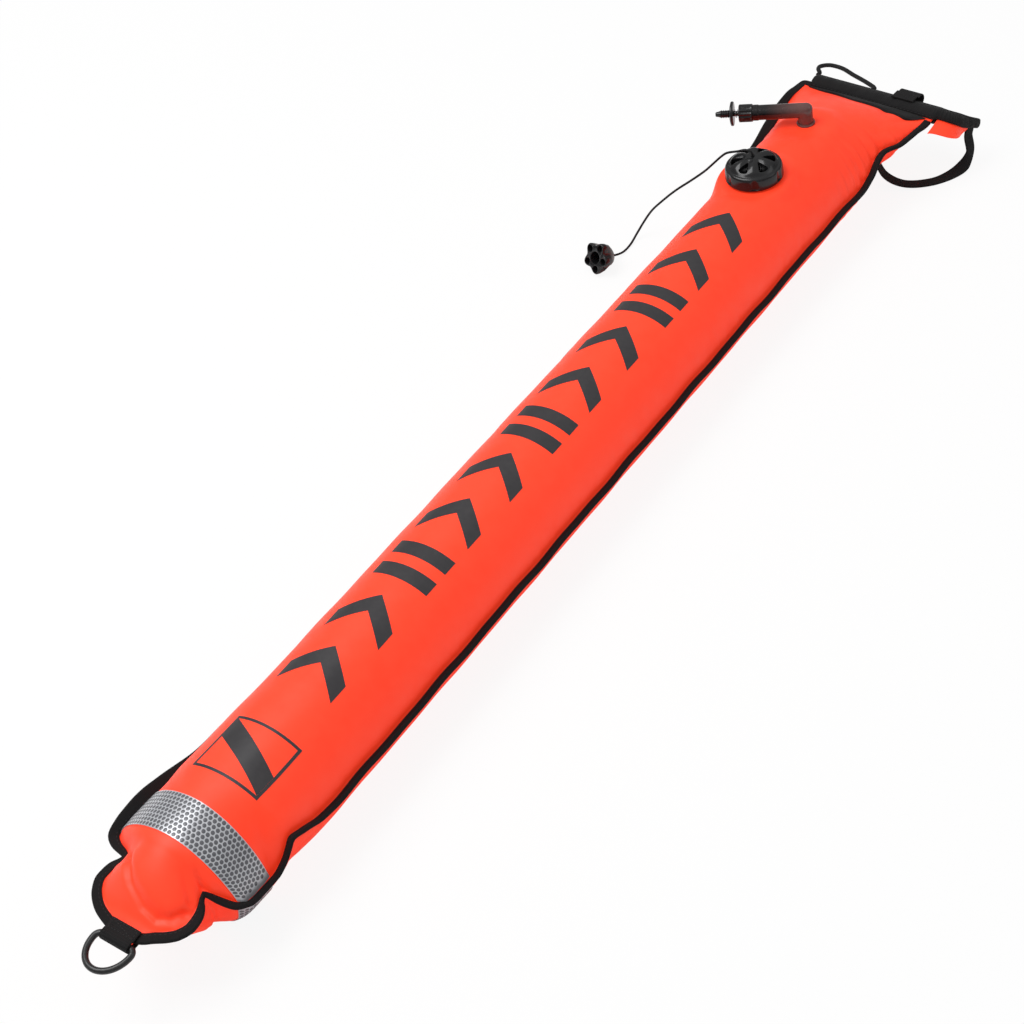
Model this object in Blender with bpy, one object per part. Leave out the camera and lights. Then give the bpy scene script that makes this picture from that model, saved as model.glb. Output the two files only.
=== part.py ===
"""Closed inflatable surface marker buoy, modelled as it lies inflated on its underside.

The tube lies along X, foot at -X and head at +X. Z is up and Z = 0 is the floor.
The origin is the middle of the flat patch that the tube rests on. All sizes are in metres.
"""
import bpy
import bmesh
from math import acos, atan2, cos, exp, hypot, pi, radians, sin, sqrt
from mathutils import Matrix, Vector

# Envelope: two coated nylon panels, welded together all round
FLAT_WIDTH = 0.150              # between the two side welds when the tube is empty
ENVELOPE_LENGTH = 1.037         # over the foot binding and the head hem
PANEL_THICKNESS = 0.0008
WELD_GAP = 0.0003               # between the two flanges
FLOOR_FLATTENING = 0.0024       # how far the tube settles on the floor
SIDE_FLANGE = 0.0066            # welded margin outside the weld line, sides and foot
NOTCH_FROM_FOOT = 0.0410        # where the foot's margin narrows and lifts
NOTCH_REACH = 0.0090
NOTCH_FLANGE_SHARE = 0.45       # of the margin left there
HEAD_FLANGE = 0.0190            # welded margin at the head, under the hem
CORNER_ROUNDING = 0.85          # of the margin at the head's left corner
ARC_SEGMENTS = 14               # round each half of the tube
TUBE_RADIUS = FLAT_WIDTH / pi
AXIS_HEIGHT = TUBE_RADIUS - FLOOR_FLATTENING

# Trim
CLEARANCE = 0.0003              # between parts that touch
BINDING_WALL = 0.0009           # woven tape folded over the flange
HEM_WALL = 0.0014               # webbing folded over the head flange
HEM_LEFT = 0.0600               # left end of the hem; the tape covers the corner beyond it
HEM_PUFF = 0.0034               # the folded webbing stands proud in its middle
SIDE_BINDING_END = 0.0030       # the side binding stops short of the hem

# Form of the tube's ends. Each row: distance in from the end weld; then, in tube radii, the half
# width at the left weld and at the right, the top, the bottom, and the rise of the left weld and
# of the right over the tube's axis; then how sharply the section rises off the weld, 1 for the
# round tube and more where a flat margin lies; and last, in tube radii, how far the underside
# bellies out past the weld. The tube lies rolled a little, left weld high and right weld low.
FOOT_FORM = (
    (0.0000, 0.16, 0.16, 0.19, -0.15, 0.17, 0.17, 2.0, 0.00),
    (0.0020, 0.32, 0.27, 0.21, -0.12, 0.17, 0.17, 2.0, 0.02),
    (0.0060, 0.54, 0.39, 0.26, -0.04, 0.17, 0.17, 2.0, 0.04),
    (0.0105, 0.68, 0.54, 0.35, 0.09, 0.17, 0.17, 1.9, 0.07),
    (0.0150, 0.77, 0.64, 0.46, 0.19, 0.17, 0.17, 1.8, 0.10),
    (0.0220, 0.84, 0.70, 0.62, 0.36, 0.17, 0.18, 1.8, 0.14),
    (0.0290, 0.83, 0.69, 0.73, 0.49, 0.18, 0.19, 1.7, 0.19),
    (0.0350, 0.78, 0.66, 0.80, 0.60, 0.20, 0.22, 1.6, 0.24),
    (0.0400, 0.76, 0.62, 0.85, 0.70, 0.22, 0.26, 1.6, 0.24),
    (0.0440, 0.83, 0.63, 0.88, 0.76, 0.21, 0.28, 1.6, 0.17),
    (0.0480, 1.04, 0.80, 0.91, 0.81, 0.19, 0.17, 1.6, 0.09),
    (0.0530, 1.16, 0.98, 0.93, 0.85, 0.16, 0.02, 1.5, 0.06),
    (0.0600, 1.17, 1.01, 0.95, 0.87, 0.15, -0.13, 1.45, 0.05),
    (0.0720, 1.145, 0.99, 0.97, 0.90, 0.15, -0.20, 1.35, 0.03),
    (0.0860, 1.11, 0.98, 0.985, 0.93, 0.145, -0.23, 1.25, 0.02),
    (0.0960, 1.09, 0.99, 0.99, 0.95, 0.14, -0.13, 1.2, 0.02),
    (0.1025, 1.085, 1.00, 0.995, 0.96, 0.14, 0.02, 1.16, 0.02),
    (0.1080, 1.08, 1.00, 1.00, 0.965, 0.14, 0.13, 1.13, 0.02),
    (0.1180, 1.07, 1.01, 1.00, 0.975, 0.14, 0.07, 1.10, 0.02),
    (0.1360, 1.05, 1.00, 1.00, 0.99, 0.135, -0.08, 1.05, 0.01),
    (0.1640, 1.02, 0.995, 1.00, 1.00, 0.13, -0.13, 1.0, 0.00),
    (0.2100, 0.995, 0.995, 1.00, 1.00, 0.13, -0.13, 1.0, 0.00),
)
HEAD_FORM = (
    (0.000, 1.36, 1.28, 0.23, -0.19, 0.21, 0.21, 1.5, 0.00),
    (0.005, 1.365, 1.28, 0.30, -0.09, 0.22, 0.21, 1.45, 0.00),
    (0.012, 1.36, 1.28, 0.39, 0.02, 0.23, 0.21, 1.4, 0.00),
    (0.024, 1.33, 1.26, 0.53, 0.17, 0.24, 0.21, 1.3, 0.00),
    (0.036, 1.28, 1.24, 0.64, 0.30, 0.24, 0.21, 1.27, 0.01),
    (0.048, 1.21, 1.20, 0.73, 0.43, 0.23, 0.20, 1.24, 0.03),
    (0.056, 1.17, 1.12, 0.78, 0.51, 0.22, 0.21, 1.22, 0.04),
    (0.064, 1.14, 1.05, 0.82, 0.60, 0.21, 0.20, 1.20, 0.05),
    (0.075, 1.10, 1.03, 0.87, 0.68, 0.20, 0.11, 1.17, 0.05),
    (0.087, 1.07, 1.04, 0.91, 0.76, 0.18, -0.03, 1.14, 0.04),
    (0.105, 1.05, 1.04, 0.95, 0.84, 0.16, -0.13, 1.10, 0.03),
    (0.130, 1.03, 1.01, 0.99, 0.92, 0.14, -0.14, 1.05, 0.02),
    (0.170, 1.01, 1.00, 1.00, 0.98, 0.13, -0.13, 1.0, 0.00),
    (0.230, 0.995, 0.995, 1.00, 1.00, 0.13, -0.13, 1.0, 0.00),
)
LEFT_HALF, RIGHT_HALF, TOP, BOTTOM, LEFT_RISE, RIGHT_RISE, FULLNESS, BELLY = range(1, 9)
UNDER_FULLNESS = 0.3            # share of the fullness that the underside takes
MIDDLE_STATIONS = 5             # along the straight part of the tube
HEAD_SKEW = 0.070               # the head's edge runs a little shorter on the right
HEAD_SWAY = 0.0030              # and the whole head lies this far to the right
HEAD_SKEW_REACH = 0.075         # from the head weld to where both begin

# Fittings line: the valve and the inflator sit on one line, left of the middle
FITTINGS_Y = 0.0075

# Over-pressure and dump valve
VALVE_FROM_HEAD = 0.180         # from the head weld to the valve's axis
VALVE_SEAT_HEIGHT = 0.0455      # fabric over the tube's axis, flat under the valve
VALVE_FLAT_RADIUS = 0.0300
VALVE_FLAT_BLEND = 0.0095
VALVE_RADIUS = 0.0250
VALVE_SKIRT_HEIGHT = 0.0130
VALVE_DOME_HEIGHT = 0.0080
VALVE_NECK_RADIUS = 0.0190
VALVE_NECK_WALL = 0.0020
VALVE_SEAT_RADIUS = 0.0120      # bore that the poppet closes
VALVE_INNER_FLANGE = 0.0230     # radius of the disc under the fabric
VALVE_INNER_THICKNESS = 0.0015
VALVE_SEAT_LEVEL = 0.0040       # top of the seat over the fabric
VALVE_SEAT_LIP = 0.0012
VALVE_NECK_TO_SKIRT = 0.0035    # the neck stops this far under the skirt's top
VALVE_HUB_RADIUS = 0.0055
VALVE_HUB_DEPTH = 0.0050        # of the hub round the cord's hole
VALVE_CAP_UNDER = 0.0062        # from the cap's top to the dome's underside
VALVE_NOTCH_RADIUS = 0.0075
VALVE_NOTCH_REACH = 0.0062      # of the notch's axis outside the skirt
VALVE_NOTCH_FOOT = 0.0012       # left whole under each notch
NOTCH_GUIDE_LENGTH = 0.0300
VALVE_WINDOWS = 6
VALVE_LOBES = 6                 # finger notches round the skirt
GASKET_THICKNESS = 0.0010
POPPET_RADIUS = 0.0145
POPPET_THICKNESS = 0.0016
POPPET_LIFT = 0.0040
STEM_RADIUS = 0.0018
SEAL_THICKNESS = 0.0012
VALVE_SPRING_RADIUS = 0.0066
VALVE_SPRING_WIRE = 0.0009
VALVE_SPRING_TURNS = 3.5
VALVE_SPRING_SPARE = 0.0006     # room over it, where the dome's underside slopes
SPRING_STEPS = 10               # points in each turn of a spring

# Oral inflator
INFLATOR_FROM_HEAD = 0.090
INFLATOR_SEAT_HEIGHT = 0.0430
INFLATOR_FLAT_RADIUS = 0.0165
INFLATOR_FLAT_BLEND = 0.0200
INFLATOR_HEADING = 26.0         # degrees from +Y towards the foot
INFLATOR_FLANGE_RADIUS = 0.0120
INFLATOR_FLANGE_THICKNESS = 0.0012
INFLATOR_COLLAR_WALL = 0.0013   # of the base's collar round the tube
INFLATOR_TUBE_RADIUS = 0.0066
INFLATOR_BORE_RADIUS = 0.0050
INFLATOR_LEG = 0.0130           # fabric to the barrel's axis
INFLATOR_BEND_RADIUS = 0.0073
BARREL_END = 0.0565             # from the leg's axis to the end of the barrel
COLLAR_LENGTH = 0.0050          # raised ring before the lock ring
COLLAR_STEP = 0.0004
LOCK_RING_LENGTH = 0.0105
LOCK_RING_OVERHANG = 0.0012     # past the end of the barrel
LOCK_RING_RADIUS = 0.0078
LOCK_RING_RIBS = 14
LOCK_RING_GROOVE = 0.0007
NECK_RADIUS = 0.0061            # of the barrel inside the lock ring
LIP_LENGTH = 0.0018             # the closing head seats on this inner lip
LIP_BORE_RADIUS = 0.0027
COUNTERBORE_RADIUS = 0.0044     # holds the spring
STEM_DISC_RADIUS = 0.0108
STEM_DISC_THICKNESS = 0.0026
STEM_TUBE_RADIUS = 0.0023
CLOSING_HEAD_RADIUS = 0.0046
CLOSING_HEAD_THICKNESS = 0.0016
INFLATOR_SEAL_THICKNESS = 0.0012
NIPPLE_LENGTH = 0.0135
NIPPLE_RADIUS = 0.0030
NIPPLE_BORE_RADIUS = 0.0014
NIPPLE_BORE_DEPTH = 0.0100
STEM_TRAVEL = 0.0040
INFLATOR_SPRING_WIRE = 0.0006
INFLATOR_SPRING_TURNS = 5.5
INFLATOR_SPRING_RADIUS = 0.0034
RUNNING_GAP = 0.0003

# Foot ring and its webbing
RING_ROD = 0.0046
RING_INNER_WIDTH = 0.0285
RING_DEPTH = 0.0215             # bar axis to the inside of the bow
RING_CORNER = 0.0050            # bend where the bow meets the bar
TAB_WIDTH = 0.0255
TAB_WALL = 0.0013
TAB_GRIP = 0.0085               # length of each leg over the binding
RING_PLAY = 0.0004

# Head webbing, bungee and strap
LOOP_WIDTH = 0.0220
LOOP_WALL = 0.0014
LOOP_DEPTH = 0.0080             # past the edge of the hem
LOOP_HALF_HEIGHT = 0.0044
LOOP_GRIP = 0.0100
LOOP_Y = -0.0360
BUNGEE_DIAMETER = 0.0040
BUNGEE_OUT_Y = 0.0605           # where it leaves the hem, at its left end
BUNGEE_BACK_Y = 0.0010          # and where it comes back to it
STRAP_WIDTH = 0.0110
STRAP_THICKNESS = 0.0015
STRAP_DROP = 0.0030             # of the strap's end below the tube's underside
STRAP_STEPS_APART = 0.0080
STRAP_STEPS = ((-0.0170, 0.0010, 0.0100), (-0.0350, 0.0030, 0.0010), (-0.0570, 0.0170, 0.0000),
               (-0.0740, 0.0390, 0.0030), (-0.0780, 0.0550, 0.0110), (-0.0780, 0.0650, 0.0000))
EAR_THICKNESS = 0.0006
EAR_REACH = 0.0080              # of the fabric past the hem's legs
EAR_INSET = 0.0012              # of the fabric from the hem's fold
EAR_FABRIC_SHARE = 0.50         # of the ear's length that holds fabric
EAR_FABRIC_TAPER = 0.5          # share of its width that the fabric loses along there
EAR_TAPER = 0.44                # width of the ear at its tip, of the hem's
EAR_THINNING = 0.60             # the webbing's thickness falls by this share of the narrowing
EAR_TAPER_POWER = 0.45          # under 1, most of the narrowing comes at the corner
EAR_STEPS_APART = 0.0032
EAR_STEPS = ((0.001, -0.007, -0.001), (0.007, -0.015, -0.005), (0.016, -0.021, -0.012),
             (0.027, -0.025, -0.020))

# Reflective band
BAND_FROM_FOOT = 0.0534         # from the foot weld to the near edge
BAND_WIDTH = 0.0300
BAND_THICKNESS = 0.0005
BAND_START = 0.35               # it begins this far across the facet beside each weld

# Pull cord and its knob
CORD_DIAMETER = 0.0020
KNOB_RADIUS = 0.0150
KNOB_LENGTH = 0.0185
KNOB_LOBES = 5
KNOB_BORE_RADIUS = 0.0048
KNOB_BORE_DEPTH = 0.0090
KNOB_BACK_FROM_VALVE = (-0.0560, 0.1245)        # in plan, from the valve's axis
KNOB_BACK_HEIGHT = 0.0078
KNOB_HEADING = (-0.86, 0.22, 0.44)              # the way its open face looks

# Worked out from the above
FOOT_WELD_X = -ENVELOPE_LENGTH / 2 + SIDE_FLANGE + CLEARANCE + BINDING_WALL
HEAD_WELD_X = ENVELOPE_LENGTH / 2 - HEAD_FLANGE - CLEARANCE - HEM_WALL
FLANGE_TOP = WELD_GAP / 2 + PANEL_THICKNESS
BINDING_INSIDE = FLANGE_TOP + CLEARANCE
BINDING_OUTSIDE = BINDING_INSIDE + BINDING_WALL
HEM_OUTSIDE = BINDING_INSIDE + HEM_WALL
VALVE_X = HEAD_WELD_X - VALVE_FROM_HEAD
VALVE_SEAT_Z = AXIS_HEIGHT + VALVE_SEAT_HEIGHT
INFLATOR_X = HEAD_WELD_X - INFLATOR_FROM_HEAD
INFLATOR_SEAT_Z = AXIS_HEIGHT + INFLATOR_SEAT_HEIGHT
BARREL_Z = INFLATOR_SEAT_Z + INFLATOR_LEG
FOOT_RISE = FOOT_FORM[0][LEFT_RISE] * TUBE_RADIUS
HEAD_RISE = HEAD_FORM[0][LEFT_RISE] * TUBE_RADIUS
RING_BAR_RADIUS = RING_ROD / 2
TAB_EYE_RADIUS = RING_BAR_RADIUS + RING_PLAY
RING_X = FOOT_WELD_X - SIDE_FLANGE - CLEARANCE - BINDING_WALL - TAB_EYE_RADIUS - CLEARANCE
RING_Z = AXIS_HEIGHT + FOOT_RISE
HUB_HOLE_RADIUS = CORD_DIAMETER / 2 + CLEARANCE
INFLATOR_COLLAR_RADIUS = INFLATOR_TUBE_RADIUS + CLEARANCE + INFLATOR_COLLAR_WALL
DRILL_LENGTH = 0.0120           # of the guides that bore the fabric


def clear_scene():
    for old in list(bpy.data.objects):
        bpy.data.objects.remove(old, do_unlink=True)


def principled(name, colour, roughness, metallic=0.0):
    finish = bpy.data.materials.new(name)
    finish.use_nodes = True
    shader = finish.node_tree.nodes["Principled BSDF"]
    shader.inputs["Base Color"].default_value = (*colour, 1.0)
    shader.inputs["Roughness"].default_value = roughness
    shader.inputs["Metallic"].default_value = metallic
    finish.diffuse_color = (*colour, 1.0)
    return finish


def finish_object(name, mesh, finish, smooth_below=40.0):
    mesh.materials.append(finish)
    mesh.shade_smooth()
    mesh.set_sharp_from_angle(angle=radians(smooth_below))
    made = bpy.data.objects.new(name, mesh)
    bpy.context.collection.objects.link(made)
    return made


def closed_mesh(name, verts, faces):
    """One closed mesh from points and faces, with its faces pointing out."""
    shape = bmesh.new()
    points = [shape.verts.new(p) for p in verts]
    for face in faces:
        shape.faces.new([points[i] for i in face])
    bmesh.ops.recalc_face_normals(shape, faces=shape.faces)
    mesh = bpy.data.meshes.new(name)
    shape.to_mesh(mesh)
    shape.free()
    return mesh


def solid_from(name, verts, faces, finish):
    return finish_object(name, closed_mesh(name, verts, faces), finish)


def turned(name, profile, steps, finish, closed=True):
    """A profile of (radius, height) points spun once round Z."""
    shape = bmesh.new()
    points = [shape.verts.new((r, 0.0, z)) for r, z in profile]
    for here, after in zip(points, points[1:]):
        shape.edges.new((here, after))
    if closed:
        shape.edges.new((points[-1], points[0]))
    bmesh.ops.spin(shape, geom=shape.verts[:] + shape.edges[:], axis=(0, 0, 1), cent=(0, 0, 0),
                   angle=2 * pi, steps=steps, use_merge=True)
    bmesh.ops.remove_doubles(shape, verts=shape.verts, dist=1e-6)
    bmesh.ops.recalc_face_normals(shape, faces=shape.faces)
    mesh = bpy.data.meshes.new(name)
    shape.to_mesh(mesh)
    shape.free()
    return finish_object(name, mesh, finish)


def cut(target, cutter, operation="DIFFERENCE"):
    """Cut one object by another, which stays as a hidden guide."""
    cutter.hide_render = True
    cutter.display_type = "WIRE"
    step = target.modifiers.new("cut", "BOOLEAN")
    step.operation = operation
    step.solver = "EXACT"
    step.object = cutter


def swept(name, path, sides, ups, profile, finish, scales=None, bend=None):
    """A closed profile of (side, up) points carried along a path, with flat ends.

    Each face is split from its inner point, as the flanges are, so that twisted runs nest.
    """
    count = len(profile)
    verts = []
    for i, point in enumerate(path):
        grow = scales[i] if scales else 1.0
        for across, up in profile:
            verts.append(point + sides[i] * across * grow + ups[i] * up)
    faces = []
    for i in range(len(path) - 1):
        for j in range(count):
            k = (j + 1) % count
            a, b, c, d = i * count + j, i * count + k, (i + 1) * count + k, (i + 1) * count + j
            if profile[j][0] <= profile[k][0]:
                faces += [(a, b, c), (a, c, d)]
            else:
                faces += [(a, b, d), (b, c, d)]
    faces.append(tuple(range(count)))
    faces.append(tuple((len(path) - 1) * count + j for j in range(count)))
    if bend:
        verts = [bend(v) for v in verts]
    return solid_from(name, verts, faces, finish)


def place(made, location, rotation=None):
    turn = rotation.to_4x4() if rotation else Matrix()
    made.matrix_world = Matrix.Translation(location) @ turn


def smooth_curve(points, spacing):
    """Points about one spacing apart on a centripetal curve through the given points."""
    knots = [Vector(p) for p in points]
    knots = [knots[0] * 2 - knots[1]] + knots + [knots[-1] * 2 - knots[-2]]
    result = []
    for a, b, c, d in zip(knots, knots[1:], knots[2:], knots[3:]):
        t1 = sqrt((b - a).length)
        t2 = t1 + sqrt((c - b).length)
        t3 = t2 + sqrt((d - c).length)
        pieces = max(1, round((c - b).length / spacing))
        for i in range(pieces):
            t = t1 + (t2 - t1) * i / pieces
            ab = a + (b - a) * (t / t1)
            bc = b + (c - b) * ((t - t1) / (t2 - t1))
            cd = c + (d - c) * ((t - t2) / (t3 - t2))
            abc = ab + (bc - ab) * (t / t2)
            bcd = bc + (cd - bc) * ((t - t1) / (t3 - t1))
            result.append(abc + (bcd - abc) * ((t - t1) / (t2 - t1)))
    result.append(knots[-2])
    return result


def run_length(points):
    return sum((b - a).length for a, b in zip(points, points[1:]))


def round_cord(name, points, diameter, sides, finish):
    """A solid round tube along the points, its first and last rings square to the run."""
    path = [Vector(p) for p in points]
    tangents = []
    for i in range(len(path)):
        before = path[max(i - 1, 0)]
        after = path[min(i + 1, len(path) - 1)]
        tangents.append((after - before).normalized())
    side = tangents[0].orthogonal().normalized()
    side_list = []
    up_list = []
    for tangent in tangents:
        side = (side - tangent * side.dot(tangent)).normalized()
        side_list.append(side.copy())
        up_list.append(tangent.cross(side))
    ring = [(cos(2 * pi * k / sides) * diameter / 2, sin(2 * pi * k / sides) * diameter / 2)
            for k in range(sides)]
    return swept(name, path, side_list, up_list, ring, finish)


def cord_curve(name, points, diameter, finish):
    """A cord as a curve with a round bevel and filled caps."""
    data = bpy.data.curves.new(name, "CURVE")
    data.dimensions = "3D"
    data.bevel_depth = diameter / 2
    data.bevel_resolution = 2
    data.use_fill_caps = True
    line = data.splines.new("POLY")
    line.points.add(len(points) - 1)
    for place_on_line, point in zip(line.points, points):
        place_on_line.co = (*point, 1.0)
    data.materials.append(finish)
    made = bpy.data.objects.new(name, data)
    bpy.context.collection.objects.link(made)
    return made


def least_gap(points, diameter):
    """The smallest clear distance between two turns of one tube."""
    apart = [hypot(a.x - b.x, a.y - b.y, a.z - b.z)
             for i, a in enumerate(points) for b in points[i + SPRING_STEPS * 2 // 3:]]
    return min(apart) - diameter


def between(table, column, position):
    """A monotone curve through one column of an end form."""
    if position <= table[0][0]:
        return table[0][column]
    if position >= table[-1][0]:
        return table[-1][column]
    i = max(k for k in range(len(table) - 1) if table[k][0] <= position)

    def slope(k):
        return (table[k + 1][column] - table[k][column]) / (table[k + 1][0] - table[k][0])

    def tangent(k):
        if k == 0 or k == len(table) - 1:
            return slope(0) if k == 0 else 0.0
        left, right = slope(k - 1), slope(k)
        return 0.0 if left * right <= 0 else 2 * left * right / (left + right)

    width = table[i + 1][0] - table[i][0]
    t = (position - table[i][0]) / width
    start, end = table[i][column], table[i + 1][column]
    return ((2 * t**3 - 3 * t**2 + 1) * start + (t**3 - 2 * t**2 + t) * width * tangent(i)
            + (3 * t**2 - 2 * t**3) * end + (t**3 - t**2) * width * tangent(i + 1))


def skewed(point):
    """The same point once the head is drawn in on its right side."""
    share = (point.x - HEAD_WELD_X) / HEAD_SKEW_REACH + 1
    share = min(max(share, 0.0), 1.0)
    share *= share * (3 - 2 * share)
    return point + Vector((HEAD_SKEW * point.y, -HEAD_SWAY, 0.0)) * share


def form(column, x):
    """One size of the tube's section at x, in metres."""
    from_foot = x - FOOT_WELD_X
    from_head = HEAD_WELD_X - x
    table, inward = (FOOT_FORM, from_foot) if from_foot < from_head else (HEAD_FORM, from_head)
    share = between(table, column, inward)
    return share if column == FULLNESS else share * TUBE_RADIUS


def flange_share(x):
    """How much of the side margin is left at x: all but at the foot's notch."""
    away = (x - FOOT_WELD_X - NOTCH_FROM_FOOT) / NOTCH_REACH
    return 1 - (1 - NOTCH_FLANGE_SHARE) * exp(-away * away)


def half_width(x, turn):
    """Half width at the weld on the side that the turn is on."""
    return form(LEFT_HALF if cos(turn) > 0 else RIGHT_HALF, x)


def weld_rise(x, turn):
    """Rise over the axis of the line from weld to weld, under the turned point."""
    left_share = (1 + cos(turn)) / 2
    return form(LEFT_RISE, x) * left_share + form(RIGHT_RISE, x) * (1 - left_share)


def lifted(x, y, height):
    """Height over the axis of the top panel, drawn flat under the two fittings."""
    for at_x, seat, flat, blend in (
            (VALVE_X, VALVE_SEAT_HEIGHT, VALVE_FLAT_RADIUS, VALVE_FLAT_BLEND),
            (INFLATOR_X, INFLATOR_SEAT_HEIGHT, INFLATOR_FLAT_RADIUS, INFLATOR_FLAT_BLEND)):
        away = hypot(x - at_x, y - FITTINGS_Y) - flat
        t = min(max(away / blend, 0.0), 1.0)
        share = 1 - t * t * (3 - 2 * t)
        height = height + (seat - height) * share
    return height


def section_point(x, turn, upper, inner=False):
    """A point of a panel at x, turned from 0 at the left weld to pi at the right weld."""
    half = half_width(x, turn) - (PANEL_THICKNESS if inner else 0.0)
    rise = weld_rise(x, turn)
    y = half * cos(turn)
    round_share = max(sin(turn), 0.0)
    if upper:
        swell = max(form(TOP, x) - rise - PANEL_THICKNESS, 0.0)
        swell *= round_share ** form(FULLNESS, x)
        height = lifted(x, y, rise + FLANGE_TOP + swell)
        if inner:
            height -= PANEL_THICKNESS
        return Vector((x, y, AXIS_HEIGHT + height))
    y += form(BELLY, x) * sin(2 * turn) * round_share
    swell = max(form(BOTTOM, x) + rise - PANEL_THICKNESS, 0.0)
    swell *= round_share ** (1 + UNDER_FULLNESS * (form(FULLNESS, x) - 1))
    height = rise - FLANGE_TOP - swell
    lowest = 0.0
    if inner:
        height += PANEL_THICKNESS
        lowest = PANEL_THICKNESS
    return Vector((x, y, max(AXIS_HEIGHT + height, lowest)))


def stations():
    """Where the sections stand along the tube: close at the ends and near the fittings."""
    foot = [FOOT_WELD_X + row[0] for row in FOOT_FORM]
    head = [HEAD_WELD_X - row[0] for row in HEAD_FORM]
    start, end = foot[-1], min(head)
    middle = [start + (end - start) * (i + 1) / (MIDDLE_STATIONS + 1)
              for i in range(MIDDLE_STATIONS)]
    reach = VALVE_FLAT_RADIUS + VALVE_FLAT_BLEND
    steps = 11
    near_valve = [VALVE_X - reach + 2 * reach * i / (steps - 1) for i in range(steps)]
    reach = INFLATOR_FLAT_RADIUS + INFLATOR_FLAT_BLEND
    steps = 7
    near_inflator = [INFLATOR_X - reach + 2 * reach * i / (steps - 1) for i in range(steps)]
    kept = near_valve + near_inflator + band_stations()
    fixed = list(kept)
    for x in foot + middle + head:
        if all(abs(x - other) > 0.004 for other in fixed):
            kept.append(x)
    return sorted(kept)


def band_stations():
    """Sections under the reflective band's edges and middle."""
    near = FOOT_WELD_X + BAND_FROM_FOOT
    return [near, near + BAND_WIDTH / 2, near + BAND_WIDTH]


def edge_loop(rows, columns):
    """Grid places round the panel's edge: left side, foot, right side, head."""
    left = [(i, 0) for i in range(rows - 1, -1, -1)]
    foot = [(0, j) for j in range(1, columns - 1)]
    right = [(i, columns - 1) for i in range(rows)]
    head = [(rows - 1, j) for j in range(columns - 2, 0, -1)]
    return left + foot + right + head


def flange_offsets(xs, turns):
    """How far the flange reaches out in plan from each place on the weld line."""
    loop = edge_loop(len(xs), len(turns))
    plan = [Vector((xs[i], half_width(xs[i], turns[j]) * cos(turns[j]))) for i, j in loop]
    last = len(xs) - 1
    offsets = []
    for k, (i, j) in enumerate(loop):
        beside_hem = plan[k].y > HEM_LEFT
        if i == last and j == 0:
            offsets.append(Vector((SIDE_FLANGE, SIDE_FLANGE)) * CORNER_ROUNDING)
        elif i == last and j == len(turns) - 1:
            offsets.append(Vector((HEAD_FLANGE, -SIDE_FLANGE)))
        elif i == last:
            offsets.append(Vector((SIDE_FLANGE if beside_hem else HEAD_FLANGE, 0.0)))
        else:
            before, after = plan[k - 1], plan[(k + 1) % len(plan)]
            if i == last - 1 and j == 0:
                before = plan[k] + (plan[k] - after)
            if i == last - 1 and j == len(turns) - 1:
                after = plan[k] + (plan[k] - before)
            along = (after - before).normalized()
            offsets.append(Vector((-along.y, along.x)) * -SIDE_FLANGE * flange_share(xs[i]))
    return loop, plan, offsets


def panel(name, upper, finish):
    """One half of the envelope with its welded margin all round."""
    xs = stations()
    turns = [pi * j / ARC_SEGMENTS for j in range(ARC_SEGMENTS + 1)]
    rows, columns = len(xs), len(turns)
    verts = [section_point(x, turn, upper) for x in xs for turn in turns]
    verts += [section_point(x, turn, upper, True) for x in xs for turn in turns]
    inner = rows * columns
    faces = []
    for i in range(rows - 1):
        for j in range(columns - 1):
            a, b = i * columns + j, (i + 1) * columns + j
            faces.append((a, b, b + 1, a + 1))
            faces.append((inner + a, inner + a + 1, inner + b + 1, inner + b))
    loop, plan, offsets = flange_offsets(xs, turns)
    sign = 1 if upper else -1
    start = len(verts)
    for (i, j), foot_point, offset in zip(loop, plan, offsets):
        height = AXIS_HEIGHT + weld_rise(xs[i], turns[j])
        reach = foot_point + offset
        verts.append(Vector((reach.x, reach.y, height + sign * FLANGE_TOP)))
        verts.append(Vector((reach.x, reach.y, height + sign * WELD_GAP / 2)))
    for k in range(len(loop)):
        following = (k + 1) % len(loop)
        here = loop[k][0] * columns + loop[k][1]
        after = loop[following][0] * columns + loop[following][1]
        edge, edge_after = start + 2 * k, start + 2 * following
        faces += [(here, after, edge_after), (here, edge_after, edge)]
        faces += [(inner + here, edge + 1, edge_after + 1),
                  (inner + here, edge_after + 1, inner + after)]
        faces.append((edge, edge_after, edge_after + 1, edge + 1))
    return solid_from(name, [skewed(v) for v in verts], faces, finish)


def flange_edge():
    """Points along the flange's outer edge, from the hem's left end to the head right.

    Each has its way out and the share of the margin left there.
    """
    xs = stations()
    turns = [pi * j / ARC_SEGMENTS for j in range(ARC_SEGMENTS + 1)]
    loop, plan, offsets = flange_offsets(xs, turns)
    points = []
    for (i, j), foot_point, offset in zip(loop, plan, offsets):
        if i == len(xs) - 1 and j > 0:
            continue
        reach = foot_point + offset
        height = AXIS_HEIGHT + weld_rise(xs[i], turns[j])
        points.append((Vector((reach.x, reach.y, height)), offset.normalized(),
                       flange_share(xs[i])))
    beside_hem = half_width(HEAD_WELD_X, turns[1]) * cos(turns[1])
    start = Vector((HEAD_WELD_X + SIDE_FLANGE, beside_hem, AXIS_HEIGHT + HEAD_RISE))
    limit = HEAD_WELD_X - SIDE_BINDING_END
    y = -form(RIGHT_HALF, limit) - SIDE_FLANGE
    end = Vector((limit, y, AXIS_HEIGHT + weld_rise(limit, pi)))
    return [(start, Vector((1.0, 0.0)), 1.0)] + points + [(end, points[-1][1], 1.0)]


def folded_profile(leg, inside, outside, wall):
    """Tape folded over an edge: side 0 is the edge, legs reach back by the leg length."""
    return [(-leg, inside), (CLEARANCE, inside), (CLEARANCE, -inside), (-leg, -inside),
            (-leg, -outside), (CLEARANCE + wall, -outside), (CLEARANCE + wall, outside),
            (-leg, outside)]


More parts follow.
